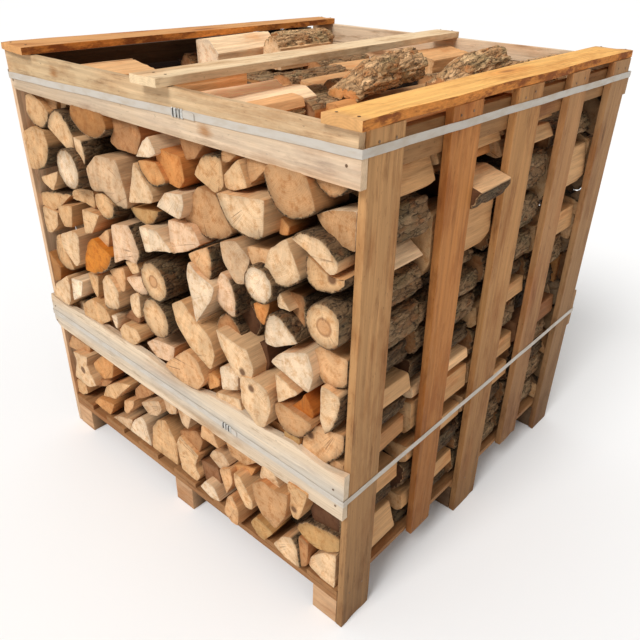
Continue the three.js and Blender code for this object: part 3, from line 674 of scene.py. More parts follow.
# Log ends in the front rank, traced as they line up on the front face from the eye.
# Each row is the tone, the setback, the bulge of the side that closes the outline, the sides that
# have bark (r right, l left, t top, b bottom), and corners x, z, x, z.
SPLIT_LOGS = [
    ("tan", 15, 0.3, "", -394, 1038, -425, 1062, -470, 1077, -498, 1068, -510, 1022),
    ("clay", 30, 0, "", -435, 1077, -345, 1077, -350, 1055, -385, 1047),
    ("light", 40, 0, "", -335, 1077, -300, 1077, -315, 1058, -335, 1052),
    ("light", 10, 0.4, "", -415, 1003, -335, 965, -302, 960, -300, 1010),
    ("russet", 0, 0.22, "", -150, 1042, -160, 1077, -288, 1077, -297, 1048),
    ("brown", 20, 0, "t", -142, 1020, -120, 1052, -125, 1077, -30, 1077, -22, 1050, -45, 1010, -115, 1008),
    ("tan", 10, 0.15, "", -502, 880, -545, 874, -552, 968, -500, 990, -440, 990, -430, 950),
    ("cream", 5, 0.1, "", -262, 998, -300, 1003, -295, 965, -262, 938),
    ("grey", 0, 0, "b", -262, 935, -212, 975, -130, 982, -105, 900, -110, 872, -150, 872, -200, 892,
     -250, 885),
    ("cream", 0, 0, "", -98, 892, -62, 992, -20, 955, 0, 930, -8, 912),
    ("olive", 15, 0.3, "", 15, 902, -95, 885, -95, 875),
    ("light", 20, 0, "", -498, 862, -402, 898, -415, 870, -445, 835, -490, 848),
    ("tan", 30, 0, "t", -535, 780, -525, 812, -465, 830, -400, 840, -352, 848, -420, 800, -460, 778),
    ("tan", 20, 0, "", -350, 838, -345, 862, -300, 878, -247, 885, -247, 838, -290, 842),
    ("tan", 5, 0.25, "", -215, 825, -243, 850, -240, 880, -200, 890, -160, 868),
    ("tan", 15, 0, "", -440, 775, -435, 798, -360, 818, -380, 752, -420, 745),
    ("light", 5, 0, "", -315, 822, -235, 825, -280, 765, -318, 755),
    ("light", 25, 0, "l", -527, 775, -445, 778, -455, 735, -500, 703, -525, 703),
    ("amber", -5, 0.12, "", -205, 725, -285, 752, -310, 735, -340, 680, -345, 643, -290, 652),
    ("peach", 10, 0, "", -268, 755, -210, 798, -200, 790, -218, 732),
    ("pink", 0, 0, "r", -188, 815, -110, 835, -80, 775, -95, 742, -150, 737, -195, 712),
    ("tan", 20, 0.5, "", -480, 700, -455, 715, -408, 622),
    ("cream", 0, 0, "", -452, 715, -380, 745, -355, 735, -372, 655, -395, 637, -448, 675),
    ("pink", 15, 0.1, "", -120, 660, -158, 688, -125, 700, -85, 715, -65, 672),
    ("light", 10, 0, "", -150, 735, -98, 748, -90, 722, -122, 705),
    ("peach", 10, 0, "", -230, 685, -160, 712, -155, 690, -165, 645, -182, 637),
    ("cream", 0, 0.1, "", -275, 563, -270, 640, -245, 665, -222, 655, -200, 630, -205, 580),
    ("tan", 15, 0, "", -340, 640, -285, 648, -305, 572, -325, 590),
    ("brown", 40, 0, "t", -205, 620, -160, 640, -152, 612, -190, 598),
    ("cream", 10, 0, "", -150, 640, -115, 660, -105, 650, -108, 595, -125, 582, -150, 600),
    ("umber", 25, 0, "", -185, 565, -150, 603, -110, 590, -120, 570),
    ("white", -5, 0, "", -50, 1005, -20, 1045, 3, 1060, 25, 1025, 0, 1012),
    ("ochre", 10, 0, "", 25, 1005, 22, 1040, 105, 1037, 112, 990, 95, 968, 60, 972),
    ("orange", 0, 0.3, "", 52, 971, 20, 1010, -48, 1000),
    ("white", -5, 0, "", 5, 910, 40, 950, 100, 960, 102, 935, 85, 900),
    ("brown", 20, 0, "", 105, 1077, 185, 1077, 150, 1040, 122, 1033),
    ("tan", 10, 0, "t", 143, 1010, 172, 1055, 225, 1062, 232, 1005, 205, 985),
    ("light", 0, 0, "", 230, 1030, 272, 1068, 297, 1018, 250, 1002, 235, 1005),
    ("clay", 10, 0, "", 228, 1077, 275, 1077, 250, 1055, 228, 1050),
    ("clay", 10, 0, "", 292, 1077, 362, 1077, 302, 1025),
    ("clay", 0, 0.36, "", 461, 1018, 435, 1077, 350, 1077, 336, 1058),
    ("clay", 15, 0.33, "", 532, 1076, 490, 1077, 452, 1076),
    ("clay bright", 18, 0, "", 460, 1014, 497, 1032, 546, 1042, 546, 970, 515, 973, 474, 996),
    ("cream", -15, 0.25, "", 332, 932, 338, 1008, 300, 1002, 205, 990),
    ("orange", 30, 0, "", 372, 992, 402, 975, 398, 955, 373, 952),
    ("cream", -10, 0, "t", 402, 955, 425, 972, 470, 975, 512, 945, 512, 922, 495, 912, 440, 940),
    ("tan", -5, 0.45, "r", 440, 938, 492, 912, 545, 918, 512, 885),
    ("peach", 5, 0, "", 285, 905, 350, 918, 345, 880, 300, 868),
    ("cream", -5, 0.15, "", 345, 853, 330, 868, 345, 915, 392, 952, 428, 880),
    ("clay", 20, 0.16, "", 105, 905, 108, 932, 150, 988, 203, 985, 250, 918),
    ("pink", 5, 0, "", 42, 892, 122, 898, 148, 862, 95, 832, 45, 812),
    ("white", -5, 0, "", -72, 845, -5, 852, 48, 815, -15, 800, -55, 783),
    ("peach", 0, 0.1, "r", 125, 797, 102, 832, 172, 868, 182, 835, 172, 790),
    ("white", -10, 0, "", 90, 780, 100, 812, 128, 792, 182, 780, 170, 745, 112, 667, 98, 740),
    ("pink", 5, 0.1, "r", 190, 747, 188, 785, 205, 825, 235, 815, 250, 780, 245, 730),
    ("dark", 45, 0, "rt", 255, 800, 268, 812, 292, 790, 325, 742, 300, 705, 258, 730),
    ("grey", 5, 0, "", 208, 890, 255, 905, 296, 880, 275, 818, 250, 812, 215, 850),
    ("cream", 5, 0, "", 365, 845, 405, 805, 367, 802),
    ("brown", 30, 0, "r", 385, 848, 438, 852, 440, 778, 415, 780, 405, 810),
    ("ochre", 20, 0, "", 298, 788, 350, 805, 330, 745, 308, 757),
    ("white", -5, 0.6, "", 328, 706, 360, 708, 425, 745),
    ("white", -5, 0, "", 345, 670, 375, 705, 446, 735, 462, 690, 450, 642, 400, 655),
    ("peach", 15, 0.45, "r", 552, 712, 548, 762, 478, 766, 458, 745),
    ("cream", 0, 0, "r", 480, 678, 532, 672, 520, 600, 495, 565, 480, 600),
    ("brown", 20, 0.5, "", 268, 690, 220, 683, 178, 685),
    ("light", -5, 0, "", 25, 682, 65, 705, 112, 668, 155, 650, 168, 605, 150, 558, 80, 590, 38, 632),
    ("cream", -10, 0, "", 178, 678, 250, 665, 275, 668, 294, 625, 288, 590, 262, 578, 228, 592, 192, 638),
    ("dark", 30, 0, "", 285, 690, 335, 712, 345, 660, 318, 610, 298, 630),
    ("cream", -5, 0, "", 357, 650, 425, 628, 365, 575),
    ("deep", 8, 0, "", 440, 640, 468, 600, 450, 565, 385, 570, 430, 618),
    ("russet", 10, 0, "", -540, 545, -540, 640, -485, 605, -500, 560),
    ("cream", 0, 0, "", -560, 492, -535, 540, -460, 588, -452, 560, -465, 505, -480, 485),
    ("bright", -5, 0, "", -438, 590, -375, 600, -395, 548, -445, 515),
    ("tan", 5, 0, "", -395, 525, -345, 560, -275, 555, -258, 525, -315, 488, -395, 488),
    ("white", 0, 0, "", -255, 545, -222, 555, -225, 515, -238, 508),
    ("light", 5, 0, "", -220, 515, -195, 542, -140, 545, -122, 522, -160, 488, -215, 490),
    ("pink", 15, 0, "", -100, 525, -62, 552, 20, 562, 5, 510, -60, 497),
    ("peach", -5, 0, "", -20, 502, 60, 572, 105, 560, 125, 515, 95, 475, 35, 468, -30, 485),
    ("orange", 10, 0, "", 130, 535, 150, 552, 180, 550, 182, 528, 142, 497),
    ("white", 0, 0, "", 182, 582, 215, 600, 245, 592, 242, 545, 188, 522),
    ("cream", -15, 0, "", 250, 590, 300, 600, 335, 590, 345, 550, 325, 490, 300, 478, 252, 518),
    ("cream", 8, 0, "", 165, 505, 245, 525, 255, 480, 160, 482),
    ("olive", 10, 0, "", 380, 515, 430, 518, 425, 482, 385, 482),
    ("peach", 15, 0, "r", 435, 495, 440, 540, 465, 575, 545, 590, 548, 560, 520, 515, 485, 482),
    ("clay", 25, 0, "", -540, 322, -500, 378, -400, 380, -410, 345, -465, 335),
    ("cream", 0, 0, "", -515, 315, -430, 330, -442, 295, -405, 240, -455, 212, -530, 218, -500, 290),
    ("brown", 35, 0, "", -440, 292, -405, 345, -392, 300, -415, 262),
    ("orange", 0, 0, "", -398, 325, -365, 358, -340, 376, -282, 375, -302, 318, -350, 292, -390, 305),
    ("brown", 20, 0, "", -400, 270, -350, 290, -300, 310, -340, 270, -395, 243),
    ("tan", 5, 0, "", -370, 222, -345, 270, -280, 315, -205, 342, -262, 285, -300, 245),
    ("brown", 10, 0, "", -190, 335, -150, 376, -85, 376, -140, 330, -190, 302),
    ("grey", -5, 0, "", -168, 302, -125, 330, -80, 352, -70, 325, -90, 295, -135, 277),
    ("peach", 10, 0, "", -265, 225, -255, 265, -200, 292, -210, 262, -250, 215),
    ("white", 24, 0, "", -248, 160, -220, 212, -175, 250, -155, 232, -142, 160),
    ("tan", 24, 0, "", -138, 162, -125, 240, -98, 278, -60, 300, -18, 240, -22, 165),
    ("tan", 27, 0, "", -555, 175, -520, 212, -470, 215, -468, 180, -500, 160, -545, 158),
    ("orange", 28, 0, "", -435, 165, -405, 198, -315, 218, -335, 180, -350, 160),
    ("grey", 28, 0, "", -335, 162, -300, 185, -225, 212, -240, 160),
    ("grey", 10, 0, "", -58, 376, 0, 376, -5, 345, -35, 332, -55, 345),
    ("grey", 5, 0, "", 2, 376, 60, 376, 40, 322, 15, 330),
    ("peach", 0, 0, "", 88, 328, 98, 374, 140, 374, 160, 328),
    ("clay", 5, 0, "", 185, 374, 300, 374, 255, 335, 205, 335),
    ("cream", 0, 0, "", 302, 330, 310, 374, 352, 374, 372, 332),
    ("tan", -5, 0, "", 390, 374, 452, 374, 440, 320, 425, 280, 408, 277, 398, 300),
    ("olive", 18, 0, "t", 417, 258, 453, 296, 545, 314, 545, 272, 517, 247, 483, 233, 443, 238),
    ("dark", 30, 0, "r", 450, 374, 545, 374, 545, 315, 470, 315),
    ("clay", -15, 0, "", 273, 290, 308, 322, 350, 318, 392, 335, 385, 262, 352, 198, 308, 212, 283, 245),
    ("light", 25, 0, "", -18, 245, 0, 280, 35, 268, 75, 255, 55, 210, 75, 185, 57, 158, -5, 163),
    ("brown", 35, 0, "", 2, 300, 80, 342, 98, 315, 75, 262, 35, 272, 8, 284),
    ("grey", 10, 0, "", 118, 285, 138, 315, 172, 325, 200, 300, 162, 265),
    ("peach", 0, 0, "", 153, 262, 198, 290, 205, 245, 178, 193),
    ("light", -10, 0, "", 208, 285, 232, 285, 275, 232, 272, 203, 248, 195, 212, 245),
    ("orange", 20, 0, "", 198, 302, 245, 335, 292, 350, 270, 305, 232, 290),
    ("white", 15, 0, "", 68, 148, 95, 185, 130, 180, 150, 145, 110, 135),
    ("peach", -5, 0, "", 162, 122, 178, 185, 198, 200, 222, 160, 215, 106, 190, 102),
    ("olive", 10, 0, "", 262, 157, 285, 192, 345, 177, 308, 122, 285, 132),
    ("cream", 8, 0, "r", 342, 142, 375, 190, 405, 209, 420, 195, 432, 120, 398, 118),
    ("cream", 22, 0, "", 458, 162, 466, 195, 489, 224, 505, 238, 538, 254, 538, 146, 496, 148),
    ("clay", -6, 0, "b", 462, 573, 372, 580, 356, 572, 356, 550, 372, 520, 398, 511, 431, 520, 450, 545),
    ("brown", 12, 0, "", 425, 232, 458, 227, 455, 152, 432, 132),
    ("umber", 40, 0, "", 80, 250, 150, 262, 165, 195, 100, 185),
]

# Unsplit rounds in the front rank: tone, setback, centre x, centre z, radius, radius of the dark heart
ROUND_LOGS = [
    ("white", -15, -350, 913, 50, 0),
    ("light", -5, -37, 716, 50, 20),
    ("light", -5, -47, 615, 52, 8),
    ("light", -15, 485, 808, 46, 22),
    ("white", -15, 316, 832, 41, 0),
]

# Knots that show in log ends: x, z and radius, each in the log end that holds the point
KNOTS = [
    (285, 573, 9), (302, 505, 8), (259, 604, 9), (412, 305, 9), (458, 545, 9),
    (-470, 268, 12), (500, 908, 10),
]


def along_sight(x, z, setback):
    """Where a point traced on the front face lies on a log end set back from it"""
    reach = (FRONT - EYE[1] + setback) / (FRONT - EYE[1])
    return EYE[0] + (x - EYE[0]) * reach, EYE[2] + (z - EYE[2]) * reach


def inside(point, corners):
    x, z = point
    hit = False
    for (ax, az), (bx, bz) in zip(corners, corners[1:] + corners[:1]):
        if (az > z) != (bz > z) and x < (bx - ax) * (z - az) / (bz - az) + ax:
            hit = not hit
    return hit


def bark_flags(corners, bulge, sides):
    """For each side of the outline, the bulge of its bark, or None where it is split"""
    middle = np.mean(corners, axis=0)
    flags = []
    ways = {"r": (1, 0), "l": (-1, 0), "t": (0, 1), "b": (0, -1)}
    for a, b in zip(corners, corners[1:] + corners[:1]):
        normal = np.array([b[1] - a[1], a[0] - b[0]], float)
        normal *= np.sign(normal @ ((np.array(a) + b) / 2 - middle)) or 1
        normal /= max(np.linalg.norm(normal), 1e-6)
        faces = any(normal @ np.array(ways[side]) > 0.6 for side in sides)
        flags.append(0.04 if faces else None)
    if bulge:
        flags[-1] = bulge
    return flags


def round_outline(x, z, radius):
    turns = [2 * math.pi * k / 12 for k in range(12)]
    return [(x + radius * math.cos(t), z + radius * math.sin(t)) for t in turns]


# Logs further right than this end here, behind the first slat, where the side column takes over
SIDE_CUT = (462, -466)

# Traced outlines are grown by this, so that no light falls between neighbours
TRACED_GROWTH = 1.035


def traced_logs(mirror=False):
    """The logs of the front rank, or the same stack turned round for the back rank"""
    logs = []
    near, far = RANKS[3] if mirror else RANKS[0]
    rows = [(tone, setback, bulge, sides, 0, list(zip(numbers[::2], numbers[1::2])))
            for tone, setback, bulge, sides, *numbers in SPLIT_LOGS]
    rows += [(tone, setback, None, "", heart, round_outline(x, z, radius))
             for tone, setback, x, z, radius, heart in ROUND_LOGS]
    for index, (tone, setback, bulge, sides, heart, corners) in enumerate(rows):
        knot = next((k for k in KNOTS if inside(k[:2], corners)), None)
        middle = np.mean(corners, axis=0)
        corners = [tuple(middle + (np.array(c) - middle) * TRACED_GROWTH) for c in corners]
        if bulge is None:
            barked = [0.03] * len(corners)
            pith = middle
        else:
            barked = bark_flags(corners, bulge, sides)
            arc = (np.array(corners[0]) + corners[-1]) / 2
            pith = middle + (middle - arc) * (0.9 if bulge else 1.3)
        corners = [along_sight(x, z, setback) for x, z in corners]
        pith = np.array(along_sight(*pith, setback))
        if knot:
            knot = (*along_sight(*knot[:2], setback), knot[2])
        seed = 0.137 * (index + 1) + (0.5 if mirror else 0)
        start, end = near + setback, far
        if not mirror and max(x for x, z in corners) > SIDE_CUT[0]:
            end = SIDE_CUT[1]
        if mirror:
            flip = PALLET_LEFT + PALLET_RIGHT
            corners = [(flip - x, z) for x, z in corners]
            pith = np.array([flip - pith[0], pith[1]])
            knot = knot and (flip - knot[0], knot[1], knot[2])
            start, end = far - LOG_LENGTH, far - max(setback, 0) * 0.6
            if max(x for x, z in corners) > PALLET_RIGHT - SIDE_DEPTH:
                start = near + LOG_LENGTH + 4
        log = Log(corners, barked, start, end, tone, seed, pith, heart, knot)
        log.limits = room(STACK_TOP)
        log.bark_relief = 2.2
        log.bark_shade = 0.33
        log.crowding = 0.6 if mirror else 1.8
        logs.append(log)
    return logs


# Chance stacks for the logs that hardly show
def clip_half(polygon, point, normal):
    """The part of a polygon on the side that the normal points away from"""
    kept = []
    for a, b in zip(polygon, polygon[1:] + polygon[:1]):
        da = (a - point) @ normal
        db = (b - point) @ normal
        if da <= 0:
            kept.append(a)
        if da * db < 0:
            kept.append(a + (b - a) * da / (da - db))
    return kept


# How far the middle of a cell may stray, and how near another one must be to cut it
STRAY_X = 26
STRAY_Z = 20
NEIGHBOUR_REACH = 260


def packed_logs(left, right, low, high, near, far, seed, across=98, up=84, painted_light_and_tone=1.0):
    """Split logs that fill a rectangle across the rank, side by side like cells.

    across and up are about the width and height of one cell, and painted_light_and_tone is how light
    the logs are, which is painted shade where it is below 1.
    """
    rng = random.Random(seed)
    rows = round((high - low) / up)
    columns = round((right - left) / across)
    centres = []
    for j in range(rows):
        stagger = 0.25 if j % 2 else -0.25
        for i in range(columns):
            x = left + (i + 0.5 + stagger) * (right - left) / columns
            z = low + (j + 0.5) * (high - low) / rows
            centres.append(np.array([x + rng.uniform(-STRAY_X, STRAY_X), z + rng.uniform(-STRAY_Z, STRAY_Z)]))
    logs = []
    box = [np.array(p, float) for p in ((left, low), (right, low), (right, high), (left, high))]
    for index, centre in enumerate(centres):
        cell = box
        for other in centres:
            gap = other - centre
            distance = np.hypot(*gap)
            if 0 < distance < NEIGHBOUR_REACH:
                cell = clip_half(cell, centre + gap / 2, gap / distance)
        if len(cell) < 3:
            continue
        middle = np.mean(cell, axis=0)
        corners = [tuple(middle + (c - middle) * rng.uniform(0.985, 1.012)) for c in cell]
        barked = [None] * len(corners)
        first = rng.randrange(len(corners))
        for k in range(rng.choice((0, 1, 1, 2, 2, 3))):
            barked[(first + k) % len(corners)] = 0.06
        tone = rng.choice(("tan", "tan", "light", "cream", "brown", "orange", "peach", "grey"))
        log = Log(corners, barked, near + rng.uniform(0, 16), far - rng.uniform(0, 14), tone,
                  seed + 0.0713 * (index + 1), pith=corners[first - 1], step=22, stations=6)
        log.painted_light_and_tone = painted_light_and_tone
        log.limits = room(HIGHEST_STACKED)
        logs.append(log)
    return logs


# For logs with four sides: bark on none of them, and bark on all but the lowest
NO_BARK = [None] * 4
BARK_TOP = [None, 0.1, 0.2, 0.1]

# Logs at the right side, seen between the slats, from the bottom up. Each is its tone, its lowest and
# highest z there, and how far its lower and upper edge lie in. The dark and brown ones show bark.
SIDE_COLUMNS = [
    [
        ("light", 113, 214, 2, 26), ("dark", 220, 284, 30, 30), ("tan", 290, 360, 10, 14),
        ("dark", 366, 416, 36, 40), ("clay", 420, 486, 3, 7), ("dark", 490, 543, 14, 12),
        ("light", 549, 604, 2, 12), ("dark", 610, 688, 24, 26), ("brown", 692, 784, 3, 8),
        ("brown", 788, 862, 5, 16), ("white", 872, 914, 1, 46), ("brown", 918, 1008, 2, 14),
        ("tan", 1012, 1082, 2, 24),
    ],
    [
        ("dark", 113, 162, 12, 20), ("tan", 168, 226, 1, 8), ("dark", 230, 322, 12, 4),
        ("tan", 326, 384, 2, 6), ("dark", 388, 410, 30, 36), ("tan", 414, 508, 3, 8),
        ("cream", 515, 552, 6, 12), ("dark", 556, 622, 16, 16), ("brown", 628, 700, 8, 12),
        ("brown", 704, 766, 6, 10), ("brown", 770, 818, 30, 40), ("tan", 822, 962, 2, 5),
        ("orange", 1022, 1048, 28, 34), ("tan", 1050, 1084, 2, 12),
    ],
    [
        ("brown", 113, 200, 6, 16), ("brown", 204, 262, 3, 18), ("dark", 266, 326, 8, 14),
        ("tan", 330, 392, 3, 9), ("dark", 396, 418, 28, 34), ("tan", 421, 492, 2, 8),
        ("brown", 498, 588, 10, 14), ("tan", 592, 655, 4, 10), ("dark", 660, 700, 20, 24),
        ("brown", 704, 792, 6, 14), ("brown", 796, 884, 3, 9), ("brown", 888, 990, 8, 10),
        ("light", 1012, 1054, 3, 22), ("tan", 1058, 1084, 10, 20),
    ],
    [
        ("brown", 113, 205, 8, 20), ("brown", 209, 300, 6, 14), ("dark", 304, 345, 3, 12),
        ("brown", 349, 424, 16, 20), ("umber", 430, 506, 3, 8), ("dark", 512, 600, 24, 34),
        ("brown", 606, 700, 10, 26), ("tan", 706, 790, 3, 8), ("light", 846, 966, 2, 14),
        ("brown", 976, 1036, 14, 26),
    ],
]

# How deep the side logs reach in from the slats, and the painted shade on the bark of dark ones and of others
SIDE_DEPTH = 104
SIDE_BARK_SHADES = (0.26, 0.52)


def side_logs(rank):
    """The logs of one rank that show between the slats; the front rank's begin behind the traced ones"""
    near = RANKS[rank][0]
    far = near + LOG_LENGTH
    if rank == 0:
        near = SIDE_CUT[1] + 4
    face = PALLET_RIGHT - 1
    logs = []
    for index, (tone, low, high, in_low, in_high) in enumerate(SIDE_COLUMNS[rank]):
        rng = random.Random(rank * 100 + index)
        back = face - SIDE_DEPTH + rng.uniform(-16, 16)
        lift = rng.uniform(0.1, 0.35) * (high - low)
        corners = [(back, low + lift), (face - in_low - 18, low), (face - in_low, low + 0.25 * (high - low)),
                   (face - in_high, high), (back + 14, high - rng.uniform(0, 8))]
        barked = [0.05, 0.05, 0.1, 0.05, None] if tone in ("dark", "brown") else NO_BARK + [0.05]
        log = Log(corners, barked, near + rng.uniform(0, 10), far - rng.uniform(0, 8), tone,
                  rank + 0.083 * (index + 1), step=7, stations=20 if rank == 0 else 27)
        log.limits = room(HIGHEST_STACKED)
        log.bark_relief = 7
        log.bark_shade = SIDE_BARK_SHADES[tone != "dark"]
        # Pale side logs get painted light, as if lit in the shade of the slats
        log.painted_light_and_tone = 1.4 if tone in ("white", "bright", "cream") else 1.0
        logs.append(log)
    return logs


# The outline of the dark logs along the left edge of the top, painted dark as shade under the left top board
LEFT_EDGE = [(-564, 1030), (-512, 1030), (-512, 1092), (-562, 1098)]

# Logs that lie on top of a rank or stand out of it: tone, near, far, the bulge of the bark on each
# side, None where it is split, and corners x, z
EXTRA_LOGS = [
    [
        ("cream", -531, -310, [None] * 5,
         [(-489, 1066), (-394, 1066), (-390, 1141), (-436, 1132), (-489, 1110)]),
        ("light", -529, -312, NO_BARK, [(-387, 1066), (-282, 1066), (-282, 1128), (-384, 1143)]),
    ],
    [
        ("dark cream", -198, -60, [None, 0.02, None, None, None],
         [(440, 962), (556, 950), (574, 990), (505, 1011), (440, 1002)]),
        ("dark", -300, -50, NO_BARK, LEFT_EDGE),
        ("umber orange", -290, -204, [None, None, 0.1, 0.1, None, None],
         [(166, 1066), (214, 1066), (216, 1104), (206, 1118), (176, 1120), (164, 1104)]),
        ("orange", -262, -196, [None] * 5, [(216, 1066), (262, 1066), (262, 1104), (246, 1120), (219, 1116)]),
        ("orange", -200, -57, NO_BARK, [(159, 1066), (255, 1066), (255, 1103), (162, 1109)]),
        ("brown", -288, -56, [None, 0.08, 0.2, 0.08], [(-8, 1066), (58, 1066), (60, 1092), (-10, 1094)]),
        ("grey", -292, -60, BARK_TOP, [(72, 1066), (138, 1066), (140, 1090), (70, 1094)]),
        ("tan", -284, -62, NO_BARK, [(-110, 1066), (-28, 1066), (-30, 1098), (-104, 1090)]),
    ],
    [
        ("grey", -76, 150, [0.1, 0.2, 0.3, 0.2], [(-500, 1072), (-458, 1072), (-456, 1112), (-500, 1112)]),
        ("dark", -42, 208, NO_BARK, LEFT_EDGE),
        ("brown", -36, 196, [None, 0.1, 0.25, 0.1], [(10, 1066), (78, 1066), (76, 1100), (6, 1096)]),
        ("dark", -32, 190, [None, 0.1, 0.25, 0.1], [(84, 1066), (150, 1066), (150, 1104), (86, 1104)]),
        ("tan", -30, 200, NO_BARK, [(-78, 1066), (0, 1066), (-6, 1092), (-70, 1100)]),
        ("brown", -34, 202, BARK_TOP, [(-170, 1066), (-92, 1066), (-92, 1090), (-168, 1096)]),
        ("tan", -28, 198, [None, 0.1, None, None], [(160, 1066), (248, 1066), (250, 1092), (166, 1100)]),
    ],
    [
        ("dark", 286, 474, BARK_TOP, [(-563, 1086), (-505, 1086), (-508, 1146), (-558, 1150)]),
        ("dark", 216, 460, NO_BARK, LEFT_EDGE),
        ("brown", 222, 460, BARK_TOP, [(120, 1066), (200, 1066), (200, 1100), (122, 1100)]),
        ("tan", 226, 458, NO_BARK, [(210, 1066), (300, 1066), (300, 1094), (216, 1104)]),
        ("tan", 224, 462, [None, 0.1, None, None], [(-200, 1066), (-110, 1066), (-110, 1092), (-196, 1100)]),
        ("brown", 220, 456, BARK_TOP, [(-300, 1066), (-214, 1066), (-214, 1092), (-298, 1096)]),
    ],
]


def extra_logs(rank):
    logs = []
    for index, (tone, near, far, barked, corners) in enumerate(EXTRA_LOGS[rank]):
        log = Log(corners, barked, near, far, tone, rank + 0.211 * (index + 1), step=7, stations=26)
        # Dark logs are painted shade, at a quarter of the light and with darker bark; the rest are a lighter
        # tone
        log.painted_light_and_tone = 0.25 if tone == "dark" else 1.25
        log.bark_shade = 0.22 if "dark" in tone else 0.62
        logs.append(log)
    return logs


def show_logs(name, logs, slot, node):
    heap = Heap()
    for log in logs:
        log.into(heap)
    show(name, heap.build(name), slot, node)


# Heights between which the middle rail hides the front logs, and the tops of the chance stacks
BEHIND_RAIL = (372, 492)
OUTER_TOP = 1060
INNER_TOP = 1076


def build_ranks():
    """The four ranks: traced ends front and back, chance stacks behind, and logs at the side and on top"""
    left = PALLET_LEFT + 2
    right = PALLET_RIGHT - 2
    edge = PALLET_RIGHT - SIDE_DEPTH - 6
    low = DECK_TOP + 1
    near, far = RANKS[0]
    front = traced_logs()
    front += packed_logs(left, right, *BEHIND_RAIL, near + 24, SIDE_CUT[1], 5, 112, 118)
    front += packed_logs(left, edge, low, OUTER_TOP, near + 100, far, 7, 130, 110)
    second = packed_logs(left, edge, low, INNER_TOP, *RANKS[1], 11)
    third = packed_logs(left, edge, low, INNER_TOP, *RANKS[2], 23)
    near, far = RANKS[3]
    back = traced_logs(mirror=True)
    back += packed_logs(left, edge, low, OUTER_TOP, near, far - 100, 31, 130, 110)
    # The logs behind the side logs at the back right get painted shade, at about a third of the light
    back += packed_logs(edge, right, low, INNER_TOP - 2, near + LOG_LENGTH + 6, far - 16, 43, 54, 90, 0.35)
    names = ("front", "second", "third", "back")
    for rank, (name, logs) in enumerate(zip(names, (front, second, third, back))):
        logs += side_logs(rank) + extra_logs(rank)
        show_logs(f"logs_{name}_rank_pile", logs, "split_birch", f"logs_{name}_rank")


# Loose logs on top: tone, middle of the near and far end, corners x, z about that middle, and the
# bulge of the bark on each side, None where the side is split
LOOSE_LOGS = [
    ("bright", (-405, -60, 1132), (-402, 175, 1136), [(-45, -50), (48, -50), (54, 2), (12, 38), (-45, 30)],
     [None] * 5),
    ("cream", (-300, 95, 1146), (-310, 332, 1146), [(-37, -64), (37, -64), (37, 0), (-37, 0)],
     [None, None, 0.42, None]),
    ("brown", (-400, 215, 1138), (-408, 455, 1140), [(-30, -46), (32, -46), (44, 10), (-40, 14)],
     [None, 0.12, 0.26, 0.12]),
    ("light", (-155, -420, 1110), (-155, -178, 1112), [(-46, -30), (45, -30), (45, 26), (-30, 32)],
     NO_BARK),
    ("bright", (0, -418, 1100), (0, -178, 1100), [(-40, -20), (40, -20), (42, -2), (-8, 26), (-38, 16)],
     [None] * 5),
    ("bright", (88, -418, 1100), (88, -180, 1102), [(-40, -20), (38, -20), (42, 4), (6, 22), (-38, 20)],
     [None] * 5),
    ("peach", (182, -535, 1110), (178, -298, 1112),
     [(-46, -30), (16, -30), (22, -4), (12, 18), (-20, 22), (-44, 10)], [None, 0.06, None, None, None, None]),
    ("dark", (216, -200, 1150), (190, 95, 1156), [(-38, -38), (36, -38), (45, 12), (-45, 12)],
     [0.06, 0.1, 0.33, 0.1]),
    ("light", (320, -222, 1093), (306, 8, 1095), [(-46, -14), (48, -14), (48, 22), (14, 30), (-46, 24)],
     [None] * 5),
    ("brown", (320, 15, 1144), (330, 255, 1162), [(-38, -40), (40, -40), (46, 16), (-44, 12)],
     [0.06, 0.08, 0.34, 0.08]),
    ("tan", (60, 300, 1122), (46, 532, 1122), [(-58, -42), (54, -42), (60, 14), (-20, 30), (-56, 20)],
     [None] * 5),
    ("tan", (366, 300, 1124), (362, 532, 1126), [(-36, -44), (36, -44), (42, 10), (-42, 8)],
     [None, 0.1, 0.34, 0.1]),
]

# By a loose log's number: the share of its height that is left at the near end, and the tone of its ends
LOOSE_ENDS = {7: (1.0, "ochre"), 8: (0.42, "orange"), 10: (0.6, "brown")}

# Loose logs are lighter than stacked ones, and the fifth is fresh and the lightest
LOOSE_LIGHT = 1.3
FRESH_LIGHT = {5: 1.65}

# This loose log has some bark, but counts as split wood, of which it shows more
MOSTLY_SPLIT = 2


def build_loose_logs():
    for number, (tone, near, far, corners, barked) in enumerate(LOOSE_LOGS, 1):
        node = f"loose_log_{number}"
        start = np.array(near, float)
        along = np.array(far, float) - start
        length = float(np.linalg.norm(along))
        turn = Vector((0, 1, 0)).rotation_difference(Vector(along)).to_matrix()
        rough = any(barked)
        step, stations = (4, 70) if rough else (6, 40)
        seed = 0.31 + 0.117 * (number - 1)
        log = Log(corners, barked, 0, length, tone, seed, pith=(0, -30), step=step, stations=stations)
        log.frame = (start, np.array(turn))
        log.bark_relief = 9
        log.split_relief = 4
        log.taper, log.end_tone = LOOSE_ENDS.get(number, (1.0, log.tone))
        log.painted_light_and_tone = FRESH_LIGHT.get(number, LOOSE_LIGHT)
        slot = "birch_bark" if rough and number != MOSTLY_SPLIT else "split_birch"
        show_logs(f"{node}_wood", [log], slot, node)


# Sawn timber
# Metres: how far edges are eased, the widths of the slices along and across a board, the least size
# that is sliced, up to where boards are darker, and half the width of a weathered band
EDGE_EASE = 0.0018
SLICE_ALONG = 0.035
SLICE_ACROSS = 0.018
LEAST_SLICED = 0.04
FOOT_HEIGHT = 0.8
BAND_HALF = 0.034

# The way that the waney edge of a top board faces
WANEY_WAY = (1, 0, 0)


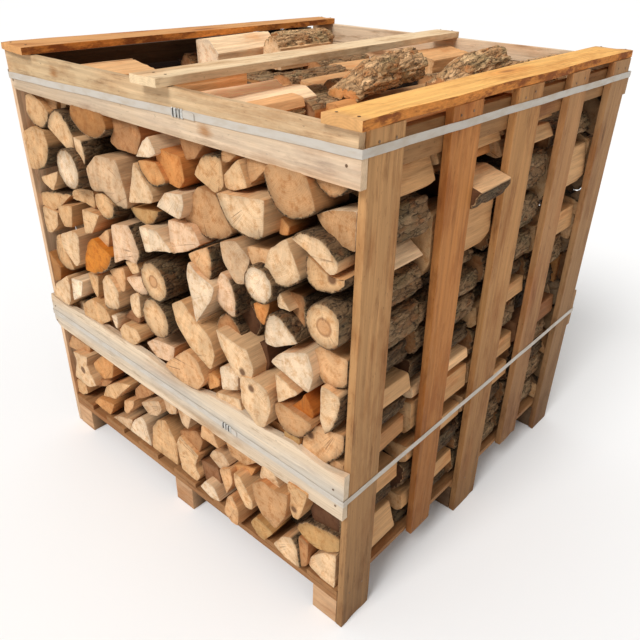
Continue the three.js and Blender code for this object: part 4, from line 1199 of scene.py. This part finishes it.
def slice_up(bm, axis, low, high, pitch):
    normal = Vector([1.0 if k == axis else 0.0 for k in range(3)])
    count = int((high - low) / pitch)
    for k in range(1, count):
        place = normal * (low + (high - low) * k / count)
        geometry = bm.verts[:] + bm.edges[:] + bm.faces[:]
        bmesh.ops.bisect_plane(bm, geom=geometry, plane_co=place, plane_no=normal, dist=1e-6)


def sawn_mesh(node, axis, relief, seed):
    """The solid's own form with eased edges, rough faces and chipped corners"""
    bm = bmesh.new()
    bm.from_mesh(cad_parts[node].data)
    bmesh.ops.remove_doubles(bm, verts=bm.verts, dist=1e-5)
    bmesh.ops.dissolve_limit(bm, angle_limit=0.01, verts=bm.verts, edges=bm.edges)
    sharp = [e for e in bm.edges if e.is_manifold and e.calc_face_angle(0) > 0.6]
    bmesh.ops.bevel(bm, geom=sharp, offset=EDGE_EASE, segments=2, profile=0.6, affect="EDGES")
    low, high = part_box(node)
    for k in range(3):
        if k == axis:
            slice_up(bm, k, low[k], high[k], SLICE_ALONG)
        elif high[k] - low[k] > LEAST_SLICED:
            slice_up(bm, k, low[k], high[k], SLICE_ACROSS)
    bm.normal_update()
    places = np.array([v.co for v in bm.verts]) / MM
    normals = np.array([v.normal for v in bm.verts])
    stretch = [0.012 if k == axis else 0.06 for k in range(3)]
    dip = relief * 1.1 * rough_noise(places * stretch, seed, 3)
    chip = np.maximum(rough_noise(places * 0.035, seed + 5, 2) - 0.62, 0) * 14 * relief
    corner = np.array([len([f for f in v.link_faces if f.calc_area() < 4e-5]) > 1 for v in bm.verts])
    moved = places - normals * (dip + chip * corner)[:, None]
    for vert, place in zip(bm.verts, moved):
        vert.co = Vector(place * MM)
    mesh = bpy.data.meshes.new(f"{node}_sawn")
    bmesh.ops.triangulate(bm, faces=[f for f in bm.faces if len(f.verts) > 4])
    bm.to_mesh(mesh)
    bm.free()
    return mesh


def board(node, axis, tint, slot, inner=1.0, waney=False, relief=1.0, foot=0.74, painted_shade_inward=False,
          band=0, flecks=0, mark=(0, 0, -1), end_tint=None, start_tint=None):
    """A sawn board in place of a plain solid, with a grain along one axis.

    inner and foot are how light all of it and its foot are, inner as painted shade where it is below 1,
    band and flecks how much it is weathered along its middle and flecked with orange, painted_shade_inward
    paints shade into it under the pallet, deeper in from its front and back, and mark is a round stain:
    its place along and across the board, and its radius.
    """
    seed = sum(ord(c) * (k + 1) for k, c in enumerate(node)) % 991
    mesh = sawn_mesh(node, axis, relief, seed)
    low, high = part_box(node)
    for material in TIMBER_MATERIALS:
        mesh.materials.append(material)
    normal = np.zeros(len(mesh.polygons) * 3)
    mesh.polygons.foreach_get("normal", normal)
    normal = normal.reshape(-1, 3)
    kinds = np.zeros(len(mesh.polygons), int)
    if waney:
        kinds[normal @ np.array(WANEY_WAY) > 0.5] = TIMBER_MATERIALS.index(WANEY)
    kinds[np.abs(normal[:, axis]) > 0.8] = TIMBER_MATERIALS.index(CUT_END)
    mesh.polygons.foreach_set("material_index", kinds)
    points = np.zeros(len(mesh.vertices) * 3)
    mesh.vertices.foreach_get("co", points)
    points = points.reshape(-1, 3)
    shade = (foot + (1 - foot) * np.clip(points[:, 2] / FOOT_HEIGHT, 0, 1)) * inner
    # Painted shade under the pallet: full light at its front and back faces, a quarter of it from 30 mm in
    if painted_shade_inward:
        outside = (np.array([PALLET_FRONT, PALLET_BACK]) + SHIFT[1]) * MM
        depth = np.minimum(points[:, 1] - outside[0], outside[1] - points[:, 1])
        shade = shade * (1 - 0.75 * np.clip((depth - 0.004) / 0.026, 0, 1))
    along = (points[:, axis] - low[axis]) / (high[axis] - low[axis])
    points = points - np.array((low + high) / 2)
    order = [axis] + sorted((k for k in range(3) if k != axis), key=lambda k: low[k] - high[k])
    banded = band * (1 - np.clip(np.abs(points[:, order[1]]) / BAND_HALF, 0, 1) ** 2)
    flecked = flecks * (1 - np.clip((along - 0.5) / 0.15, 0, 1) * 0.8)
    write_attribute(mesh, "wear", np.column_stack([banded, flecked, np.zeros(len(points))]))
    write_attribute(mesh, "mark", np.tile(mark, (len(points), 1)))
    write_attribute(mesh, "grain", points[:, order])
    at_end = (np.abs(along - 0.5) > 0.498)[:, None]
    fading = np.outer(1 - along, linear(start_tint or tint)) + np.outer(along, linear(tint))
    write_attribute(mesh, "tint", np.where(at_end, linear(end_tint or tint), fading))
    write_attribute(mesh, "seed", np.full(len(points), (seed % 97) / 97 + 0.05))
    write_attribute(mesh, "shade", shade)
    return show(f"{node}_sawn", mesh, slot, node)


def build_timber():
    X, Y, Z = 0, 1, 2
    pallet = (176, 126, 80)
    for row in ("front", "mid", "back"):
        for column in ("left", "middle", "right"):
            board(f"block_{row}_{column}", X, (226, 180, 136), "pallet_timber", relief=1.4, painted_shade_inward=True)
        board(f"cross_board_{row}", X, pallet, "pallet_timber")
    for k in range(1, 8):
        board(f"deck_board_{k}", Y, pallet, "pallet_timber")
    browns = [(190, 142, 92), (190, 126, 68), (187, 136, 84), (182, 133, 86), (170, 128, 86)]
    for k, tint in enumerate(browns):
        flecks = 0.5 if k == 1 else 0
        slot = "orange_timber" if k == 1 else "brown_timber"
        board(f"slat_right_{k + 1}", Z, tint, slot, foot=0.5, flecks=flecks)
        left_tint, left_foot = ((226, 188, 150), 0.8) if k == 0 else (browns[(k + 3) % 5], 0.5)
        board(f"slat_left_{k + 1}", Z, left_tint, "brown_timber", foot=left_foot)
    board("side_rail_right", Y, (158, 116, 74), "brown_timber")
    # The left side rail is painted at a fifth of its light, as shade under the left top board
    board("side_rail_left", Y, (168, 124, 84), "brown_timber", inner=0.2)
    board("front_rail_upper", X, (217, 184, 144), "pale_timber", mark=(-0.33, 0.0, 0.012),
          start_tint=(199, 170, 130))
    board("front_rail_lower", X, (228, 196, 160), "pale_timber", mark=(0.19, 0.0, 0.012), band=0.3,
          start_tint=(184, 156, 124))
    board("front_rail_middle", X, (228, 204, 174), "grey_timber", band=0.8)
    back_brown = (178, 138, 98)
    board("back_rail_upper", X, (230, 204, 172), "pale_timber", end_tint=back_brown)
    board("back_rail_lower", X, (226, 198, 162), "pale_timber", end_tint=back_brown)
    board("back_rail_middle", X, (224, 200, 170), "grey_timber", band=0.5, end_tint=back_brown)
    board("top_board_left", Y, (220, 160, 100), "orange_timber", waney=True)
    board("top_board_middle", Y, (240, 210, 168), "pale_timber")
    board("top_board_right", Y, (250, 190, 108), "orange_timber", waney=True, end_tint=(222, 168, 108))


# Straps
STRAP_WIDTH = 15
STRAP_GAP = 0.35
STRAP_THICK = 0.85
STRAP_STEP = 40
TAIL_HALF = 6.8
NIP_HALF = 0.045


def strap_path(rail_left, gap):
    """The way round the crate at a distance from the timber, with short bends at the corners"""
    corners = np.array([
        (rail_left, FRONT), (RIGHT, FRONT), (RIGHT, BACK),
        (rail_left, BACK), (LEFT, PALLET_BACK), (LEFT, PALLET_FRONT),
    ], float)
    points = []
    for before, here, after in zip(np.roll(corners, 1, axis=0), corners, np.roll(corners, -1, axis=0)):
        way_in = (here - before) / np.linalg.norm(here - before)
        way_out = (after - here) / np.linalg.norm(after - here)
        out_in = np.array([way_in[1], -way_in[0]])
        out_out = np.array([way_out[1], -way_out[0]])
        run = np.linalg.norm(after - here)
        for t in (0.0, 0.5, 1.0):
            normal = out_in * (1 - t) + out_out * t
            points.append(here + normal / np.linalg.norm(normal) * gap)
        steps = max(1, round(run / STRAP_STEP))
        points.extend(here + (after - here) * j / steps + out_out * gap for j in range(1, steps))
    return np.array(points)


def build_strap(node, middle, per_x, per_y, rail_left, seal_left, seal_width, tail):
    """A slanting band round the crate, its free end and its seal"""
    inner = strap_path(rail_left, STRAP_GAP)
    outer = strap_path(rail_left, STRAP_GAP + STRAP_THICK)
    rise = middle + per_x * (inner[:, 0] - RIGHT) + per_y * (inner[:, 1] - FRONT)
    along = np.concatenate([[0], np.cumsum(np.linalg.norm(np.diff(inner, axis=0), axis=1))])
    wave = 0.5 * np.sin(along * 0.021) + 0.3 * np.sin(along * 0.057)
    half = STRAP_WIDTH / 2
    eased = half - 0.4
    profile = [(0.0, -eased), (0.3, -half), (0.7, -half), (1.0, -eased), (1.0, 0.0),
               (1.0, eased), (0.7, half), (0.3, half), (0.0, eased), (0.0, 0.0)]
    rings = []
    marks = []
    for t, height in profile:
        flat = inner * (1 - t) + outer * t
        rings.append(np.column_stack([flat, rise + wave + height]))
        marks.append(np.array([(a, height, t) for a in along]) * MM)
    n = len(inner)
    faces = []
    for i in range(len(profile)):
        faces.extend(ring_faces(i * n, (i + 1) % len(profile) * n, n))
    points = [np.concatenate(rings)]
    grain = [np.concatenate(marks)]
    add_tail(points, grain, faces, middle, per_x, seal_left + seal_width, tail)
    mesh_of(f"{node}_band", np.concatenate(points), faces, np.concatenate(grain), BAND, "strap", node)
    build_seal(node, middle, per_x, seal_left, seal_width)


def add_tail(points, grain, faces, middle, per_x, start, length):
    """The free end of the strap, which lies on the band past the seal, a little apart and narrower"""
    base = sum(len(p) for p in points)
    steps = 8
    for j in range(steps + 1):
        x = start - 6 + (length + 6) * j / steps
        lift = 1.25 + 0.9 * (j / steps) ** 2
        z = middle + per_x * (x - RIGHT) - 0.8 * j / steps
        cut = 2.5 if j == steps else 0
        high = TAIL_HALF - cut
        section = [(lift, -TAIL_HALF), (lift + 0.8, -TAIL_HALF), (lift + 0.8, high), (lift, high)]
        points.append(np.array([(x, FRONT - out, z + height) for out, height in section]))
        grain.append(np.array([(x * MM, height * MM, 0) for _, height in section]))
    for j in range(steps):
        faces.extend(ring_faces(base + j * 4, base + (j + 1) * 4, 4))
    faces.append((base + 3, base + 2, base + 1, base))
    last = base + steps * 4
    faces.append((last, last + 1, last + 2, last + 3))


def mesh_of(name, points, faces, grain, material, slot, *nodes):
    mesh = bpy.data.meshes.new(name)
    mesh.from_pydata(((points + SHIFT) * MM).tolist(), [], faces)
    mesh.materials.append(material)
    write_attribute(mesh, "grain", grain)
    write_attribute(mesh, "seed", np.full(len(points), 0.37))
    bm = bmesh.new()
    bm.from_mesh(mesh)
    bmesh.ops.recalc_face_normals(bm, faces=bm.faces)
    bm.to_mesh(mesh)
    bm.free()
    return show(name, mesh, slot, *nodes)


def build_seal(node, middle, per_x, left, width):
    """A steel sleeve crimped over the strap, three pairs of nips in its edges, painted shade in grooves
    across
    """
    columns = 36
    rows = 12
    grid = []
    nips = (0.14, 0.44, 0.74)
    for j in range(columns + 1):
        t = j / columns
        x = left + 1.5 + (width - 3) * t
        nip = max(math.exp(-(((t - n) / NIP_HALF) ** 2)) for n in nips)
        half = 9.6 - 2.6 * nip
        for i in range(rows + 1):
            s = 2 * i / rows - 1
            edge = max(0, abs(s) - 0.86) / 0.14
            out = 2.9 - 1.3 * edge**2 - 1.4 * nip * (0.5 + 0.5 * abs(s)) + 0.15 * math.cos(9 * t)
            grid.append((x, FRONT - out, middle + per_x * (x - RIGHT) + s * half))
    front = np.array(grid)
    back = front.copy()
    back[:, 1] = FRONT - 1.35
    points = np.concatenate([front, back])
    faces = []
    step = rows + 1
    total = len(front)
    for j in range(columns):
        for i in range(rows):
            a = j * step + i
            faces.append((a, a + step, a + step + 1, a + 1))
            faces.append((total + a, total + a + 1, total + a + step + 1, total + a + step))
    border = [j * step for j in range(columns + 1)]
    border += [columns * step + i for i in range(1, rows + 1)]
    border += [j * step + rows for j in range(columns - 1, -1, -1)]
    border += [i for i in range(rows - 1, 0, -1)]
    for a, b in zip(border, border[1:] + border[:1]):
        faces.append((a, a + total, b + total, b))
    name = f"{node}_seal"
    piece = mesh_of(f"{name}_steel", points, faces, points * MM, SEAL_STEEL, "seal_steel", name)
    # Faces at the nips take the dark groove steel, as painted shade
    piece.data.materials.append(SEAL_GROOVE_SHADE)
    for face in piece.data.polygons:
        t = (face.center.x / MM - SHIFT[0] - left - 1.5) / (width - 3)
        if min(abs(t - n) for n in nips) < NIP_HALF:
            face.material_index = 1


# Nails
def nail_places():
    """Where the nail heads lie, with the way each faces"""
    rng = random.Random(9)
    places = []
    slat_middles = [(-494, -494), (-235, -254), (15, -6), (252, 245), (510, 504)]
    for low_y, high_y in slat_middles:
        for spread in (-22, 22):
            for face, way in ((RIGHT, 1), (LEFT, -1)):
                y_top = high_y + spread + rng.uniform(-5, 5)
                y_low = low_y + spread + rng.uniform(-5, 5)
                places.append(((face, y_top, 1146 + rng.uniform(-5, 5)), (way, 0, 0)))
                places.append(((face, y_low, 103 + rng.uniform(-3, 3)), (way, 0, 0)))
    for face, way in ((FRONT, -1), (BACK, 1)):
        for x, z in ((522, 438), (529, 398), (-568, 452), (-574, 402), (521, 1108), (-546, 1096)):
            places.append(((x, face, z), (0, way, 0)))
    for y in (-549, 567):
        for x_front, x_back in ((-535, -525), (-468, -486), (32, -34), (66, 6), (492, 466), (532, 524)):
            x = x_front if y < 0 else x_back
            places.append(((x + rng.uniform(-4, 4), y + rng.uniform(-3, 3), RAIL_TOP + 18), (0, 0, 1)))
    return places


def build_nails():
    rings = [(2.6, 0.0), (2.7, 0.35), (2.0, 0.6)]
    sides = 12
    points = []
    faces = []
    for place, way in nail_places():
        base = len(points)
        turn = Vector((0, 0, 1)).rotation_difference(Vector(way)).to_matrix()
        for radius, height in rings:
            for k in range(sides):
                a = 2 * math.pi * k / sides
                local = Vector((radius * math.cos(a), radius * math.sin(a), height - 0.1))
                points.append(Vector(place) + turn @ local)
        points.append(Vector(place) + turn @ Vector((0, 0, 0.55)))
        points.append(Vector(place) + turn @ Vector((0, 0, -0.6)))
        for j in range(len(rings) - 1):
            faces.extend(ring_faces(base + j * sides, base + (j + 1) * sides, sides))
        top = base + (len(rings) - 1) * sides
        for k in range(sides):
            m = (k + 1) % sides
            faces.append((top + k, top + m, base + len(rings) * sides))
            faces.append((base + m, base + k, base + len(rings) * sides + 1))
    points = np.array([tuple(p) for p in points])
    mesh_of("nail_heads", points, faces, points * MM, NAIL_STEEL, "seal_steel")


# Floor, lights and camera
def build_stage():
    reach = 60
    corners = [(x * reach, y * reach, 0) for x, y in ((-1, -1), (1, -1), (1, 1), (-1, 1))]
    floor_mesh = bpy.data.meshes.new("floor")
    floor_mesh.from_pydata(corners, [], [(0, 1, 2, 3)])
    g = Graph("pale_floor")
    cloud = g.noise(g.node("ShaderNodeTexCoord", {}, "Object"), 0.6, 2)
    floor_mesh.materials.append(g.finish(g.tone((0.9, 0.9, 0.9, 1.0), cloud, 0.3, 0.7, 0.985, 1.0), 0.9))
    floor = bpy.data.objects.new("floor", floor_mesh)
    bpy.context.scene.collection.objects.link(floor)


def build_lights():
    """A dome that is brighter overhead, and a broad soft sun from the front left"""
    world = bpy.data.worlds.new("studio")
    world.use_nodes = True
    tree = world.node_tree
    background = tree.nodes["Background"]
    background.inputs["Color"].default_value = (1.0, 0.99, 0.975, 1.0)
    place = tree.nodes.new("ShaderNodeTexCoord")
    split = tree.nodes.new("ShaderNodeSeparateXYZ")
    ramp = tree.nodes.new("ShaderNodeMapRange")
    tree.links.new(place.outputs["Generated"], split.inputs[0])
    tree.links.new(split.outputs["Z"], ramp.inputs["Value"])
    ramp.inputs["To Min"].default_value = DOME_LOW
    ramp.inputs["To Max"].default_value = DOME_HIGH
    tree.links.new(ramp.outputs[0], background.inputs["Strength"])
    bpy.context.scene.world = world
    data = bpy.data.lights.new("key", "SUN")
    data.energy = KEY_POWER
    data.angle = math.radians(24)
    light = bpy.data.objects.new("key", data)
    light.rotation_euler = Vector(KEY_FROM).to_track_quat("Z", "Y").to_euler()
    bpy.context.scene.collection.objects.link(light)


def build_camera():
    azimuth, elevation, roll = (math.radians(a) for a in (CAMERA_AZIMUTH, CAMERA_ELEVATION, CAMERA_ROLL))
    level_part = math.cos(elevation)
    ahead = Vector((math.sin(azimuth) * level_part, math.cos(azimuth) * level_part, math.sin(elevation)))
    level = ahead.cross(Vector((0, 0, 1))).normalized()
    raised = level.cross(ahead)
    right = level * math.cos(roll) + raised * math.sin(roll)
    up = raised * math.cos(roll) - level * math.sin(roll)
    data = bpy.data.cameras.new("camera")
    data.sensor_width = 36
    data.lens = CAMERA_LENS
    data.clip_end = 100
    camera = bpy.data.objects.new("camera", data)
    turn = Matrix((right, up, -ahead)).transposed().to_4x4()
    camera.matrix_world = Matrix.Translation(Vector((np.array(EYE) + SHIFT) * MM)) @ turn
    bpy.context.scene.collection.objects.link(camera)
    bpy.context.scene.camera = camera


build_camera()
build_stage()
build_lights()
build_ranks()
build_loose_logs()
build_timber()
build_strap("upper_strap", 1131, 25 / 1110, -7 / 1116, -561, 92, 36, 32)
build_strap("lower_strap", 414, -16 / 1138, 4 / 1116, -586, 180, 34, 18)
build_nails()

bpy.context.scene.view_settings.view_transform = "Standard"
